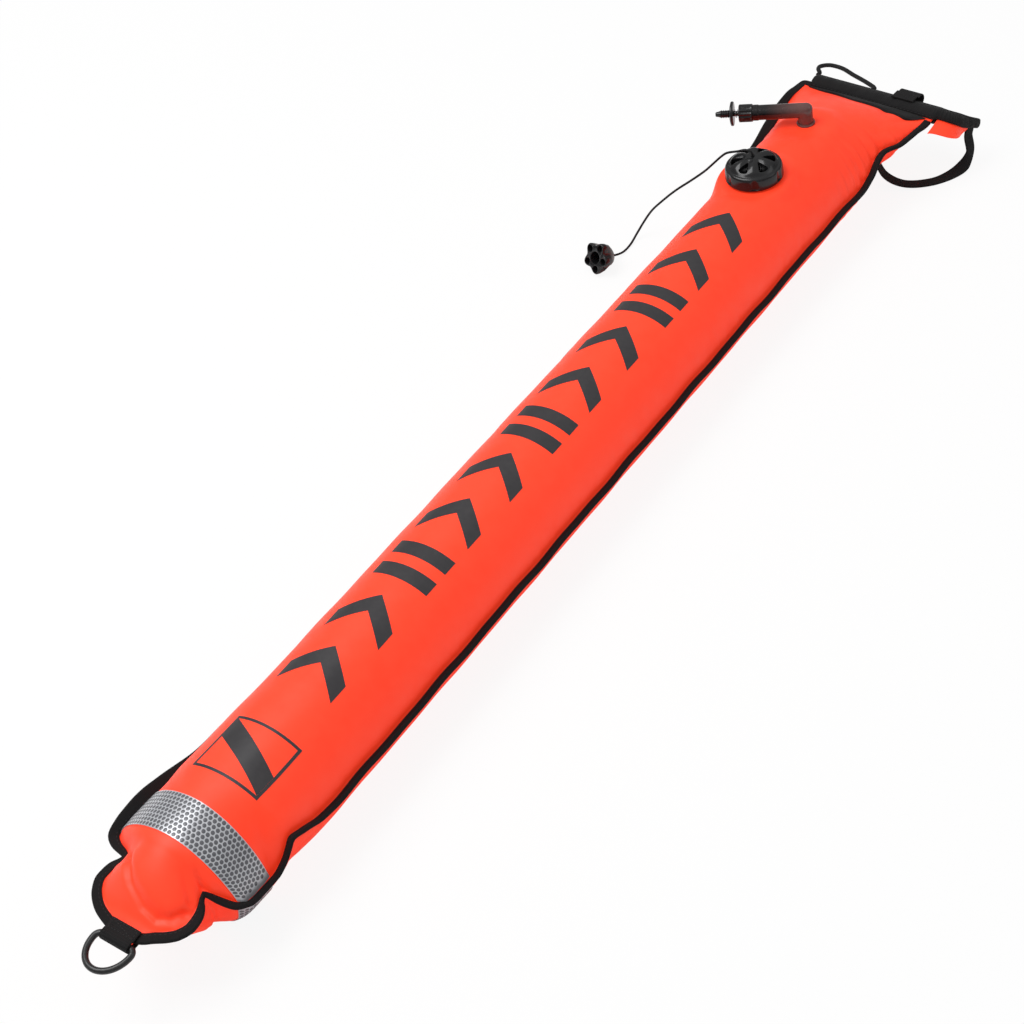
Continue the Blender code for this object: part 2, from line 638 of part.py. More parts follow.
def puffed_profile(leg, inside, outside, wall, puff):
    """The same fold in thick soft webbing: its outside swells over each leg."""
    swell = ((1.0, 0.10), (0.86, 0.62), (0.62, 1.0), (0.36, 0.95), (0.14, 0.55))
    upper = [(-leg * share, outside + puff * lift) for share, lift in swell]
    lower = [(across, -up) for across, up in upper]
    edge = CLEARANCE + wall
    return ([(-leg, inside), (CLEARANCE, inside), (CLEARANCE, -inside), (-leg, -inside)] + lower
            + [(edge * 0.6, -outside * 0.8), (edge, 0.0), (edge * 0.6, outside * 0.8)]
            + upper[::-1])


def edge_binding(finish):
    run = flange_edge()
    path = [point for point, out, share in run]
    sides = [Vector((out.x, out.y, 0.0)) for point, out, share in run]
    shares = [share for point, out, share in run]
    ups = [Vector((0.0, 0.0, 1.0))] * len(run)
    leg = SIDE_FLANGE - 2 * CLEARANCE
    profile = folded_profile(leg, BINDING_INSIDE, BINDING_OUTSIDE, BINDING_WALL)
    return swept("edge_binding", path, sides, ups, profile, finish, shares, bend=skewed)


def hem_run():
    """The head flange's edge, and the ear that runs on past the right corner."""
    edge = HEAD_WELD_X + HEAD_FLANGE
    height = AXIS_HEIGHT + HEAD_RISE
    corner = form(RIGHT_HALF, HEAD_WELD_X) + SIDE_FLANGE
    points = [Vector((edge, HEM_LEFT - (HEM_LEFT + corner) * i / 8, height)) for i in range(9)]
    straight = len(points)
    start = points[-1]
    ear = [start] + [start + Vector(step) for step in EAR_STEPS]
    ear = smooth_curve(ear, EAR_STEPS_APART)[1:]
    points += ear
    sides = []
    ups = []
    scales = []
    for i in range(len(points)):
        lean = max(i - straight + 1, 0) / len(ear)
        side = Vector((1.0, -0.45 * lean, 0.25 * lean))
        along = (points[min(i + 1, len(points) - 1)] - points[max(i - 1, 0)]).normalized()
        across = (side - along * side.dot(along)).normalized()
        scale = 1 - (1 - EAR_TAPER) * lean ** EAR_TAPER_POWER
        sides.append(across)
        ups.append(along.cross(across) * (1 - EAR_THINNING * (1 - scale)))
        scales.append(scale)
    return points, sides, ups, scales, straight


def head_hem(finish):
    points, sides, ups, scales, _ = hem_run()
    leg = HEAD_FLANGE - 2 * CLEARANCE
    profile = puffed_profile(leg, BINDING_INSIDE, HEM_OUTSIDE, HEM_WALL, HEM_PUFF)
    return swept("head_hem", points, sides, ups, profile, finish, scales, bend=skewed)


def corner_ear(finish):
    """The fabric corner held in the hem's run past the right corner."""
    points, sides, ups, _, straight = hem_run()
    first = straight + 1
    last = first + round((len(points) - first) * EAR_FABRIC_SHARE)
    points, sides, ups = points[first:last], sides[first:last], ups[first:last]
    count = len(points)
    half = EAR_THICKNESS / 2
    profile = [(-HEAD_FLANGE - EAR_REACH, -half), (-EAR_INSET, -half), (-EAR_INSET, half),
               (-HEAD_FLANGE - EAR_REACH, half)]
    narrowing = [1.0 - EAR_FABRIC_TAPER * i / (count - 1) for i in range(count)]
    return swept("corner_ear", points, sides, [up.normalized() for up in ups], profile, finish,
                 narrowing, bend=skewed)


def band_half(name, upper, finish):
    """Half of the reflective band, on the panel's own facets from weld to weld."""
    near, far = band_stations()[0], band_stations()[-1]
    xs = [x for x in stations() if near <= x <= far]
    turns = [pi * j / ARC_SEGMENTS for j in range(ARC_SEGMENTS + 1)]
    verts = []
    for stand_off in (CLEARANCE + BAND_THICKNESS, CLEARANCE):
        for x in xs:
            skin = [section_point(x, turn, upper) for turn in turns]
            row = []
            for j, point in enumerate(skin):
                along = skin[min(j + 1, len(skin) - 1)] - skin[max(j - 1, 0)]
                out = Vector((0.0, along.z, -along.y)).normalized()
                row.append(point + out * (stand_off if upper else -stand_off))
            row[0] = row[0].lerp(row[1], BAND_START)
            row[-1] = row[-1].lerp(row[-2], BAND_START)
            verts += row
    rows, columns = len(xs), len(turns)
    inner = rows * columns
    faces = []
    for i in range(rows - 1):
        for j in range(columns - 1):
            a, b = i * columns + j, (i + 1) * columns + j
            faces.append((a, b, b + 1, a + 1))
            faces.append((inner + a, inner + a + 1, inner + b + 1, inner + b))
    rim = edge_loop(rows, columns)
    for k in range(len(rim)):
        a = rim[k][0] * columns + rim[k][1]
        b = rim[(k + 1) % len(rim)][0] * columns + rim[(k + 1) % len(rim)][1]
        faces.append((a, b, inner + b, inner + a))
    return solid_from(name, verts, faces, finish)


def webbing_fold(name, eye, wall, gap, grip, width, finish):
    """Webbing folded round an eye, its legs gripping what lies between them.

    The fold is drawn in XZ with the eye at the origin and the legs along +X, then
    extruded along Y. eye is (half length, half height) of the opening.
    """
    half_long, half_high = eye
    arc = [radians(90 + 180 * k / 10) for k in range(11)]
    inner = [(half_long, half_high)] + [
        (half_high * cos(a) - (half_long - half_high), half_high * sin(a)) for a in arc
    ] + [(half_long, -half_high)]
    outer_high = half_high + wall
    outer = [(half_long, outer_high)] + [
        (outer_high * cos(a) - (half_long - half_high), outer_high * sin(a)) for a in arc
    ] + [(half_long, -outer_high)]
    tail = half_long + abs(half_high - gap) * 0.8
    inner = [(tail + grip, gap), (tail, gap)] + inner + [(tail, -gap), (tail + grip, -gap)]
    outer = [(tail + grip, gap + wall), (tail, gap + wall)] + outer + [
        (tail, -gap - wall), (tail + grip, -gap - wall)]
    section = inner + outer[::-1]
    count = len(section)
    verts = [Vector((x, side * width / 2, z)) for side in (-1, 1) for x, z in section]
    half = count // 2
    faces = [(j, (j + 1) % count, count + (j + 1) % count, count + j) for j in range(count)]
    for base in (0, count):
        for j in range(half - 1):
            faces.append((base + j, base + j + 1, base + count - 2 - j, base + count - 1 - j))
    return solid_from(name, verts, faces, finish)


def d_ring(finish):
    """A straight bar with a round bow, one rod of even thickness, made as a closed tube."""
    half = RING_INNER_WIDTH / 2 + RING_BAR_RADIUS
    corner = RING_CORNER
    bow_depth = RING_DEPTH + RING_BAR_RADIUS
    centre = []
    for k in range(5):
        centre.append((0.0, half - corner - (half - corner) * 2 * k / 4))
    for k in range(1, 4):
        a = radians(90 * k / 4)
        centre.append((-corner * (1 - cos(a)), -(half - corner) - corner * sin(a)))
    for k in range(17):
        a = radians(180 * k / 16)
        centre.append((-corner - (bow_depth - corner) * sin(a), -half * cos(a)))
    for k in range(1, 4):
        a = radians(90 - 90 * k / 4)
        centre.append((-corner * (1 - cos(a)), (half - corner) + corner * sin(a)))
    sides = 8
    count = len(centre)
    verts = []
    for i, (x, y) in enumerate(centre):
        before, after = Vector(centre[i - 1]), Vector(centre[(i + 1) % count])
        along = (after - before).normalized()
        out = Vector((along.y, -along.x, 0.0))
        for k in range(sides):
            a = 2 * pi * k / sides
            verts.append(Vector((x, y, 0.0)) + out * RING_BAR_RADIUS * cos(a)
                         + Vector((0, 0, RING_BAR_RADIUS * sin(a))))
    faces = []
    for i in range(count):
        j = (i + 1) % count
        for k in range(sides):
            m = (k + 1) % sides
            faces.append((i * sides + k, j * sides + k, j * sides + m, i * sides + m))
    made = solid_from("d_ring", verts, faces, finish)
    place(made, (RING_X, 0.0, RING_Z))
    return made


def head_tab_loop(finish):
    gap = HEM_OUTSIDE + HEM_PUFF + CLEARANCE
    eye = (LOOP_DEPTH / 2, LOOP_HALF_HEIGHT)
    made = webbing_fold("head_tab_loop", eye, LOOP_WALL, gap, LOOP_GRIP, LOOP_WIDTH, finish)
    hem_edge = HEAD_WELD_X + HEAD_FLANGE + CLEARANCE + HEM_WALL
    lean = atan2(HEAD_SKEW, 1.0)
    turn = Matrix.Rotation(pi - lean, 3, "Z")
    reach = eye[0] + 2 * CLEARANCE
    at_edge = hem_edge + HEAD_SKEW * (LOOP_Y + HEAD_SWAY)
    place(made, (at_edge + reach * cos(lean), LOOP_Y - reach * sin(lean), AXIS_HEIGHT + HEAD_RISE),
          turn)
    return made


def d_ring_tab(finish):
    gap = BINDING_OUTSIDE + CLEARANCE
    eye = (TAB_EYE_RADIUS + 0.0001, TAB_EYE_RADIUS)
    made = webbing_fold("d_ring_tab", eye, TAB_WALL, gap, TAB_GRIP, TAB_WIDTH, finish)
    place(made, (RING_X, 0.0, RING_Z))
    return made


def valve_levels():
    """Heights over the fabric of the valve's stacked parts."""
    seat = VALVE_SEAT_LEVEL
    poppet = seat + CLEARANCE + SEAL_THICKNESS + CLEARANCE
    cap_top = VALVE_SKIRT_HEIGHT + VALVE_DOME_HEIGHT
    return seat, poppet, cap_top


def valve_base(finish):
    seat, poppet, cap_top = valve_levels()
    under = -PANEL_THICKNESS - CLEARANCE
    neck_top = VALVE_SKIRT_HEIGHT - VALVE_NECK_TO_SKIRT
    low = under - VALVE_INNER_THICKNESS
    ledge = seat - VALVE_SEAT_LIP
    lip = VALVE_SEAT_RADIUS + VALVE_SEAT_LIP
    inner = VALVE_NECK_RADIUS - VALVE_NECK_WALL
    profile = [
        (VALVE_SEAT_RADIUS, low), (VALVE_INNER_FLANGE, low), (VALVE_INNER_FLANGE, under),
        (VALVE_NECK_RADIUS, under), (VALVE_NECK_RADIUS, neck_top), (inner, neck_top),
        (inner, ledge), (lip, ledge), (lip, seat), (VALVE_SEAT_RADIUS, seat)]
    made = turned("valve_base", profile, 32, finish)
    place(made, (VALVE_X, FITTINGS_Y, VALVE_SEAT_Z))
    return made


def valve_gasket(finish):
    inner = VALVE_NECK_RADIUS + CLEARANCE
    outer = VALVE_INNER_FLANGE
    low, high = CLEARANCE, CLEARANCE + GASKET_THICKNESS
    made = turned("valve_gasket", [(inner, low), (outer, low), (outer, high), (inner, high)],
                  32, finish)
    place(made, (VALVE_X, FITTINGS_Y, VALVE_SEAT_Z))
    return made


def valve_cap(finish):
    """Domed cap: finger notches round the skirt, windows between broad ribs, a hub."""
    bottom = CLEARANCE + GASKET_THICKNESS + CLEARANCE
    rim = VALVE_RADIUS
    inner = VALVE_NECK_RADIUS + CLEARANCE
    top = VALVE_SKIRT_HEIGHT + VALVE_DOME_HEIGHT
    dome_in = VALVE_SKIRT_HEIGHT - 0.0030
    hub = VALVE_HUB_RADIUS
    hub_low = top - VALVE_HUB_DEPTH
    profile = [
        (inner, bottom), (rim - 0.0006, bottom), (rim, bottom + 0.0006),
        (rim - 0.0006, VALVE_SKIRT_HEIGHT - 0.0022), (rim - 0.0018, VALVE_SKIRT_HEIGHT),
        (rim - 0.0045, VALVE_SKIRT_HEIGHT + 0.0020), (0.0150, top - 0.0030),
        (hub + 0.0030, top - 0.0012), (hub, top - 0.0004), (HUB_HOLE_RADIUS + 0.0006, top),
        (HUB_HOLE_RADIUS, top - 0.0006), (HUB_HOLE_RADIUS, hub_low), (hub, hub_low),
        (0.0140, top - VALVE_CAP_UNDER), (inner - 0.0004, dome_in + 0.0010), (inner, dome_in)]
    made = turned("valve_cap", profile, 42, finish)
    for k in range(VALVE_LOBES):
        a = 2 * pi * (k + 0.5) / VALVE_LOBES
        bpy.ops.mesh.primitive_cylinder_add(vertices=20, radius=VALVE_NOTCH_RADIUS,
                                            depth=NOTCH_GUIDE_LENGTH)
        notch = bpy.context.object
        notch.name = f"skirt_notch_guide_{k}"
        reach = rim + VALVE_NOTCH_REACH
        place(notch, (VALVE_X + reach * cos(a), FITTINGS_Y + reach * sin(a),
                      VALVE_SEAT_Z + bottom + VALVE_NOTCH_FOOT + NOTCH_GUIDE_LENGTH / 2))
        cut(made, notch)
    for k in range(VALVE_WINDOWS):
        cut(made, valve_window(k))
    place(made, (VALVE_X, FITTINGS_Y, VALVE_SEAT_Z))
    return made


def valve_window(k):
    """A wedge with round corners that opens the dome between two ribs."""
    middle = 2 * pi * k / VALVE_WINDOWS
    near, far = 0.0082, 0.0188
    outline = []
    for radius, spread in ((near, 0.16), (far - 0.0015, 0.34), (far, 0.26)):
        outline.append((radius, spread))
    corners = [(r, middle - s) for r, s in outline] + [(r, middle + s) for r, s in outline[::-1]]
    count = len(corners)
    low = VALVE_SKIRT_HEIGHT - 0.0040
    high = VALVE_SKIRT_HEIGHT + VALVE_DOME_HEIGHT + 0.0040
    verts = [Vector((r * cos(a), r * sin(a), z)) for z in (low, high) for r, a in corners]
    faces = [tuple(range(count)), tuple(range(count, 2 * count))]
    faces += [(j, (j + 1) % count, count + (j + 1) % count, count + j) for j in range(count)]
    name = f"window_guide_{k}"
    made = bpy.data.objects.new(name, closed_mesh(name, verts, faces))
    bpy.context.collection.objects.link(made)
    place(made, (VALVE_X, FITTINGS_Y, VALVE_SEAT_Z))
    return made


def valve_seal(finish):
    seat, poppet, cap_top = valve_levels()
    low = seat + CLEARANCE
    profile = [(VALVE_SEAT_RADIUS - 0.0015, low), (POPPET_RADIUS, low),
               (POPPET_RADIUS, low + SEAL_THICKNESS),
               (VALVE_SEAT_RADIUS - 0.0015, low + SEAL_THICKNESS)]
    made = turned("valve_seal", profile, 28, finish)
    place(made, (VALVE_X, FITTINGS_Y, VALVE_SEAT_Z))
    return made


def valve_poppet(finish):
    """Disc with a stem that rises into the cap's hub, where the cord pulls it."""
    seat, poppet, cap_top = valve_levels()
    stem_top = cap_top - VALVE_HUB_DEPTH - POPPET_LIFT - 2 * CLEARANCE
    profile = [(0.0, poppet), (POPPET_RADIUS, poppet), (POPPET_RADIUS, poppet + POPPET_THICKNESS),
               (STEM_RADIUS + 0.0010, poppet + POPPET_THICKNESS),
               (STEM_RADIUS, poppet + POPPET_THICKNESS + 0.0010), (STEM_RADIUS, stem_top),
               (0.0, stem_top)]
    made = turned("valve_poppet", profile, 28, finish, closed=False)
    place(made, (VALVE_X, FITTINGS_Y, VALVE_SEAT_Z))
    return made


def spring(name, radius, wire, turns, low, high, finish):
    """A round-wire compression spring turned round Z."""
    steps = round(turns * SPRING_STEPS)
    path = []
    for i in range(steps + 1):
        t = i / steps
        a = 2 * pi * turns * t
        path.append(Vector((radius * cos(a), radius * sin(a),
                            low + wire / 2 + (high - low - wire) * t)))
    print(name, "least gap", round(least_gap(path, wire), 5))
    return round_cord(name, path, wire, 5, finish)


def valve_spring(finish):
    seat, poppet, cap_top = valve_levels()
    low = poppet + POPPET_THICKNESS + CLEARANCE
    high = cap_top - VALVE_CAP_UNDER - CLEARANCE - VALVE_SPRING_SPARE
    made = spring("valve_spring", VALVE_SPRING_RADIUS, VALVE_SPRING_WIRE, VALVE_SPRING_TURNS,
                  low, high, finish)
    place(made, (VALVE_X, FITTINGS_Y, VALVE_SEAT_Z))
    return made


def barrel_frame():
    """Turns +Z of a turned part to the barrel's run, left and towards the foot."""
    heading = radians(90 + INFLATOR_HEADING)
    run = Vector((cos(heading), sin(heading), 0.0))
    across = Vector((0.0, 0.0, 1.0)).cross(run)
    return Matrix((across, Vector((0.0, 0.0, 1.0)), run)).transposed(), run


def barrel_place(made):
    turn, run = barrel_frame()
    place(made, (INFLATOR_X, FITTINGS_Y, BARREL_Z), turn)
    return made


def inflator_base(finish):
    under = -PANEL_THICKNESS - CLEARANCE
    bore = INFLATOR_TUBE_RADIUS + CLEARANCE
    collar = INFLATOR_COLLAR_RADIUS
    profile = [(bore, under - INFLATOR_FLANGE_THICKNESS),
               (INFLATOR_FLANGE_RADIUS, under - INFLATOR_FLANGE_THICKNESS),
               (INFLATOR_FLANGE_RADIUS, under), (collar, under), (collar, 0.0010),
               (collar - 0.0006, 0.0018), (bore, 0.0018)]
    made = turned("inflator_base", profile, 24, finish)
    place(made, (INFLATOR_X, FITTINGS_Y, INFLATOR_SEAT_Z))
    return made


def barrel_neck():
    """Where the barrel steps down to the neck that carries the lock ring."""
    return BARREL_END - LOCK_RING_LENGTH - 2 * CLEARANCE


def inflator_tube(finish):
    """Elbow and barrel in one moulding: rings carried up the leg, round the bend and out."""
    turn, run = barrel_frame()
    bottom = -INFLATOR_LEG - PANEL_THICKNESS - CLEARANCE - INFLATOR_FLANGE_THICKNESS
    stops = [(0.0, bottom), (0.0, -INFLATOR_BEND_RADIUS)]
    for k in range(1, 7):
        a = radians(90 * k / 6)
        stops.append((INFLATOR_BEND_RADIUS * (1 - cos(a)),
                      -INFLATOR_BEND_RADIUS + INFLATOR_BEND_RADIUS * sin(a)))
    neck_start = barrel_neck()
    collar_start = neck_start - COLLAR_LENGTH
    lip_end = neck_start + LIP_LENGTH
    plain = [(INFLATOR_TUBE_RADIUS, INFLATOR_BORE_RADIUS)] * (len(stops) + 1)
    raised = (INFLATOR_TUBE_RADIUS + COLLAR_STEP, INFLATOR_BORE_RADIUS)
    step = 0.0001               # a shoulder takes this much length
    stops += [(collar_start, 0.0), (collar_start + COLLAR_STEP, 0.0), (neck_start - step, 0.0),
              (neck_start, 0.0), (lip_end, 0.0), (lip_end + step, 0.0), (BARREL_END, 0.0)]
    radii = plain + [raised, raised, (NECK_RADIUS, LIP_BORE_RADIUS), (NECK_RADIUS, LIP_BORE_RADIUS),
                     (NECK_RADIUS, COUNTERBORE_RADIUS), (NECK_RADIUS, COUNTERBORE_RADIUS)]
    sides = 16
    verts = []
    path = [run * along + Vector((0, 0, up)) for along, up in stops]
    for wall in (0, 1):
        for i, point in enumerate(path):
            tangent = (path[min(i + 1, len(path) - 1)] - path[max(i - 1, 0)]).normalized()
            side = Vector((0, 0, 1)).cross(run).normalized()
            up = tangent.cross(side).normalized()
            for k in range(sides):
                a = 2 * pi * k / sides
                verts.append(point + (side * cos(a) + up * sin(a)) * radii[i][wall])
    faces = []
    rings = len(path)
    for layer in (0, 1):
        base = layer * rings * sides
        for i in range(rings - 1):
            for k in range(sides):
                m = (k + 1) % sides
                a, b = base + i * sides, base + (i + 1) * sides
                faces.append((a + k, a + m, b + m, b + k))
    for i in (0, rings - 1):
        for k in range(sides):
            m = (k + 1) % sides
            a, b = i * sides, (rings + i) * sides
            faces.append((a + k, a + m, b + m, b + k))
    made = solid_from("inflator_tube", verts, faces, finish)
    place(made, (INFLATOR_X, FITTINGS_Y, BARREL_Z))
    return made


def inflator_lock_ring(finish):
    """Ribbed ring that turns on the barrel's neck and locks the stem shut."""
    start = barrel_neck() + CLEARANCE
    end = BARREL_END + LOCK_RING_OVERHANG
    bore = NECK_RADIUS + RUNNING_GAP
    steps = LOCK_RING_RIBS * 2
    verts = []
    for z in (start, end):
        for k in range(steps):
            a = 2 * pi * k / steps
            radius = LOCK_RING_RADIUS - (LOCK_RING_GROOVE if k % 2 else 0.0)
            verts.append(Vector((radius * cos(a), radius * sin(a), z)))
    for z in (start, end):
        for k in range(steps):
            a = 2 * pi * k / steps
            verts.append(Vector((bore * cos(a), bore * sin(a), z)))
    faces = []
    for k in range(steps):
        m = (k + 1) % steps
        faces.append((k, m, steps + m, steps + k))
        faces.append((2 * steps + k, 3 * steps + k, 3 * steps + m, 2 * steps + m))
        faces.append((k, 2 * steps + k, 2 * steps + m, m))
        faces.append((steps + k, steps + m, 3 * steps + m, 3 * steps + k))
    return barrel_place(solid_from("inflator_lock_ring", verts, faces, finish))


def stem_levels():
    """Along the barrel: the outer disc rests a travel beyond the lock ring."""
    disc = BARREL_END + LOCK_RING_OVERHANG + STEM_TRAVEL + 2 * CLEARANCE
    seal = barrel_neck() - CLEARANCE - INFLATOR_SEAL_THICKNESS
    head = seal - CLEARANCE - CLOSING_HEAD_THICKNESS
    return disc, seal, head


def inflator_stem(finish):
    """Mouthpiece stem: closing head inside, guide rod, outer disc and ribbed nipple."""
    disc, seal, head = stem_levels()
    root = disc + STEM_DISC_THICKNESS
    tip = root + NIPPLE_LENGTH
    profile = [
        (0.0, head), (CLOSING_HEAD_RADIUS, head),
        (CLOSING_HEAD_RADIUS, head + CLOSING_HEAD_THICKNESS),
        (STEM_TUBE_RADIUS, head + CLOSING_HEAD_THICKNESS), (STEM_TUBE_RADIUS, disc),
        (STEM_DISC_RADIUS - 0.0006, disc), (STEM_DISC_RADIUS, disc + 0.0008),
        (STEM_DISC_RADIUS, root - 0.0008), (STEM_DISC_RADIUS - 0.0006, root)]
    ribs = 4
    pitch = 0.0020
    first_rib = root + 0.0014
    for k in range(ribs):
        at = first_rib + pitch * k
        profile += [(NIPPLE_RADIUS, at), (NIPPLE_RADIUS + 0.0005, at + pitch * 0.4),
                    (NIPPLE_RADIUS + 0.0005, at + pitch * 0.7)]
    profile += [(NIPPLE_RADIUS, first_rib + pitch * ribs), (NIPPLE_RADIUS, tip - 0.0012),
                (NIPPLE_RADIUS - 0.0006, tip), (NIPPLE_BORE_RADIUS, tip),
                (NIPPLE_BORE_RADIUS, tip - NIPPLE_BORE_DEPTH), (0.0, tip - NIPPLE_BORE_DEPTH)]
    return barrel_place(turned("inflator_stem", profile, 18, finish, closed=False))


def inflator_seal(finish):
    """Soft washer between the stem's closing head and the barrel's lip."""
    disc, seal, head = stem_levels()
    inner = STEM_TUBE_RADIUS + CLEARANCE
    top = seal + INFLATOR_SEAL_THICKNESS
    profile = [(inner, seal), (CLOSING_HEAD_RADIUS, seal), (CLOSING_HEAD_RADIUS, top), (inner, top)]
    return barrel_place(turned("inflator_seal", profile, 24, finish))


def inflator_spring(finish):
    """Holds the stem out: it bears on the barrel's lip and on the disc's underside."""
    disc, seal, head = stem_levels()
    low = barrel_neck() + LIP_LENGTH + 2 * CLEARANCE
    high = disc - CLEARANCE
    made = spring("inflator_spring", INFLATOR_SPRING_RADIUS, INFLATOR_SPRING_WIRE,
                  INFLATOR_SPRING_TURNS, low, high, finish)
    return barrel_place(made)


def bungee_loop(finish):
    """Shock cord loop: out of the hem's left end, round, and back along its edge."""
    edge = HEAD_WELD_X + HEAD_FLANGE + 2 * CLEARANCE + HEM_WALL + BUNGEE_DIAMETER * HEAD_SKEW / 2
    height = AXIS_HEIGHT + HEAD_RISE
    out_y, back_y = BUNGEE_OUT_Y, BUNGEE_BACK_Y
    start = edge + HEAD_SKEW * (out_y + HEAD_SWAY)
    end = edge + HEAD_SKEW * (back_y + HEAD_SWAY)
    route = (
        (start, out_y, height), (start + 0.004, out_y, height),
        (start + 0.010, out_y + 0.005, height - 0.001), (start + 0.018, out_y + 0.007, height - 0.003),
        (start + 0.024, out_y + 0.001, height - 0.004), (start + 0.025, out_y - 0.011, height - 0.005),
        (end + 0.021, back_y + 0.031, height - 0.004), (end + 0.013, back_y + 0.016, height - 0.002),
        (end + 0.007, back_y + 0.005, height - 0.001), (end + 0.003, back_y, height),
        (end, back_y, height))
    points = smooth_curve(route, BUNGEE_DIAMETER * 1.5)
    print("bungee loop length", round(run_length(points), 4))
    return cord_curve("bungee_loop", points, BUNGEE_DIAMETER, finish)


def strap_loop(finish):
    """Webbing from the ear's tip, down to the floor and back under the tube's side."""
    ear_points, ear_sides, _, scales, _ = hem_run()
    tip = skewed(ear_points[-1])
    along = (ear_points[-1] - ear_points[-2]).normalized()
    across = ear_sides[-1]
    flat = STRAP_THICKNESS / 2
    heading = Vector((-0.45, 0.0, -0.9)).normalized()
    start = tip - along * STRAP_WIDTH * 0.6 - across * (HEAD_FLANGE * scales[-2] + 4 * CLEARANCE)
    route = [start, start + heading * 0.006]
    route += [Vector((tip.x + dx, tip.y + dy, flat + dz)) for dx, dy, dz in STRAP_STEPS]
    last = route[-1]
    under = section_point(last.x, acos(last.y / form(RIGHT_HALF, last.x)), False)
    last.z = under.z - flat - STRAP_DROP
    points = smooth_curve(route, STRAP_STEPS_APART)
    first_up = along.cross(heading)
    first_up *= -1 if first_up.y > 0 else 1
    up_keys = (first_up, first_up, Vector((0.2, -0.5, 0.85)),
               Vector((0.0, 0.0, 1.0)), Vector((0.0, 0.0, 1.0)), Vector((0.1, -0.1, 1.0)),
               Vector((0.3, -0.6, 0.7)))
    ups = []
    sides = []
    for i, point in enumerate(points):
        t = i / (len(points) - 1) * (len(up_keys) - 1)
        low = min(int(t), len(up_keys) - 2)
        up = up_keys[low].lerp(up_keys[low + 1], t - low)
        along = (points[min(i + 1, len(points) - 1)] - points[max(i - 1, 0)]).normalized()
        up = (up - along * up.dot(along)).normalized()
        ups.append(up)
        sides.append(up.cross(along))
    half = STRAP_WIDTH / 2
    profile = [(-half, -flat), (half, -flat), (half, flat), (-half, flat)]
    for point, side, up in zip(points, sides, ups):
        reach = abs(side.z) * half + abs(up.z) * flat
        point.z = max(point.z, reach)
    return swept("strap_loop", points, sides, ups, profile, finish)


def cord_route():
    """The pull cord from the valve's hub, over the tube's side and along the floor."""
    top = VALVE_SEAT_Z + VALVE_SKIRT_HEIGHT + VALVE_DOME_HEIGHT
    floor = CORD_DIAMETER / 2 + CLEARANCE
    x, y = VALVE_X, FITTINGS_Y
    heading = Vector(KNOB_HEADING).normalized()
    end = knob_back() - heading * CLEARANCE
    return (
        (x, y, top - 0.0052), (x, y, top), (x, y, top + 0.0015), (x, y + 0.0012, top + 0.0040),
        (x - 0.001, y + 0.0060, top + 0.0052), (x - 0.001, y + 0.0133, top + 0.0020),
        (x - 0.002, y + 0.0245, top - 0.0020), (x - 0.002, y + 0.0303, top - 0.0070),
        (x - 0.003, y + 0.0387, top - 0.0160), (x - 0.003, y + 0.0480, top - 0.0260),
        (x - 0.004, y + 0.0613, top - 0.0380), (x - 0.005, y + 0.0799, top - 0.0540),
        (x - 0.005, y + 0.0960, top - 0.0700), (x - 0.006, y + 0.1079, top - 0.0830),
        (x - 0.008, y + 0.1165, top - 0.0960), (x - 0.015, y + 0.1215, floor + 0.0040),
        (x - 0.027, y + 0.1215, floor), (x - 0.040, y + 0.1215, floor + 0.0004),
        tuple(end - heading * 0.0040), tuple(end))


def knob_back():
    """The middle of the knob's back, where the cord goes in."""
    dx, dy = KNOB_BACK_FROM_VALVE
    return Vector((VALVE_X + dx, FITTINGS_Y + dy, KNOB_BACK_HEIGHT))


def pull_cord(finish):
    points = smooth_curve(cord_route(), CORD_DIAMETER * 2)
    print("pull cord length", round(run_length(points), 4))
    return cord_curve("pull_cord", points, CORD_DIAMETER, finish)


def pull_knob(finish):
    """Five-lobed hollow knob, its open face away from the cord, lying on the floor."""
    heading = Vector(KNOB_HEADING).normalized()
    steps = 40
    rings = ((0.0, 0.20, 0.0), (0.0, 0.42, 0.0), (0.18, 0.62, 0.3), (0.45, 0.86, 0.8),
             (0.75, 0.98, 1.0), (0.93, 1.00, 1.0), (1.0, 0.93, 1.0))
    verts = []
    for along, width, lobed in rings:
        for k in range(steps):
            a = 2 * pi * k / steps
            swell = 1 + lobed * 0.13 * (cos(KNOB_LOBES * a) - 1)
            radius = KNOB_RADIUS * width * swell
            verts.append(Vector((radius * cos(a), radius * sin(a), along * KNOB_LENGTH)))
    bore_rings = ((KNOB_BORE_RADIUS + 0.0010, KNOB_LENGTH), (KNOB_BORE_RADIUS, KNOB_LENGTH - 0.0010),
                  (KNOB_BORE_RADIUS * 0.9, KNOB_LENGTH - KNOB_BORE_DEPTH))
    for radius, z in bore_rings:
        for k in range(steps):
            a = 2 * pi * k / steps
            verts.append(Vector((radius * cos(a), radius * sin(a), z)))
    count = len(rings) + len(bore_rings)
    faces = [tuple(range(steps)), tuple((count - 1) * steps + k for k in range(steps))]
    for i in range(count - 1):
        for k in range(steps):
            m = (k + 1) % steps
            faces.append((i * steps + k, i * steps + m, (i + 1) * steps + m, (i + 1) * steps + k))
    made = solid_from("pull_knob", verts, faces, finish)
    side = Vector((0, 0, 1)).cross(heading).normalized()
    turn = Matrix((side, heading.cross(side), heading)).transposed()
    place(made, knob_back(), turn)
    return made


def drill(target, x, radius, height):
    bpy.ops.mesh.primitive_cylinder_add(vertices=32, radius=radius, depth=DRILL_LENGTH)
    guide = bpy.context.object
    guide.name = f"drill_guide_{round(radius * 10000)}"
    place(guide, (x, FITTINGS_Y, height))
    cut(target, guide)


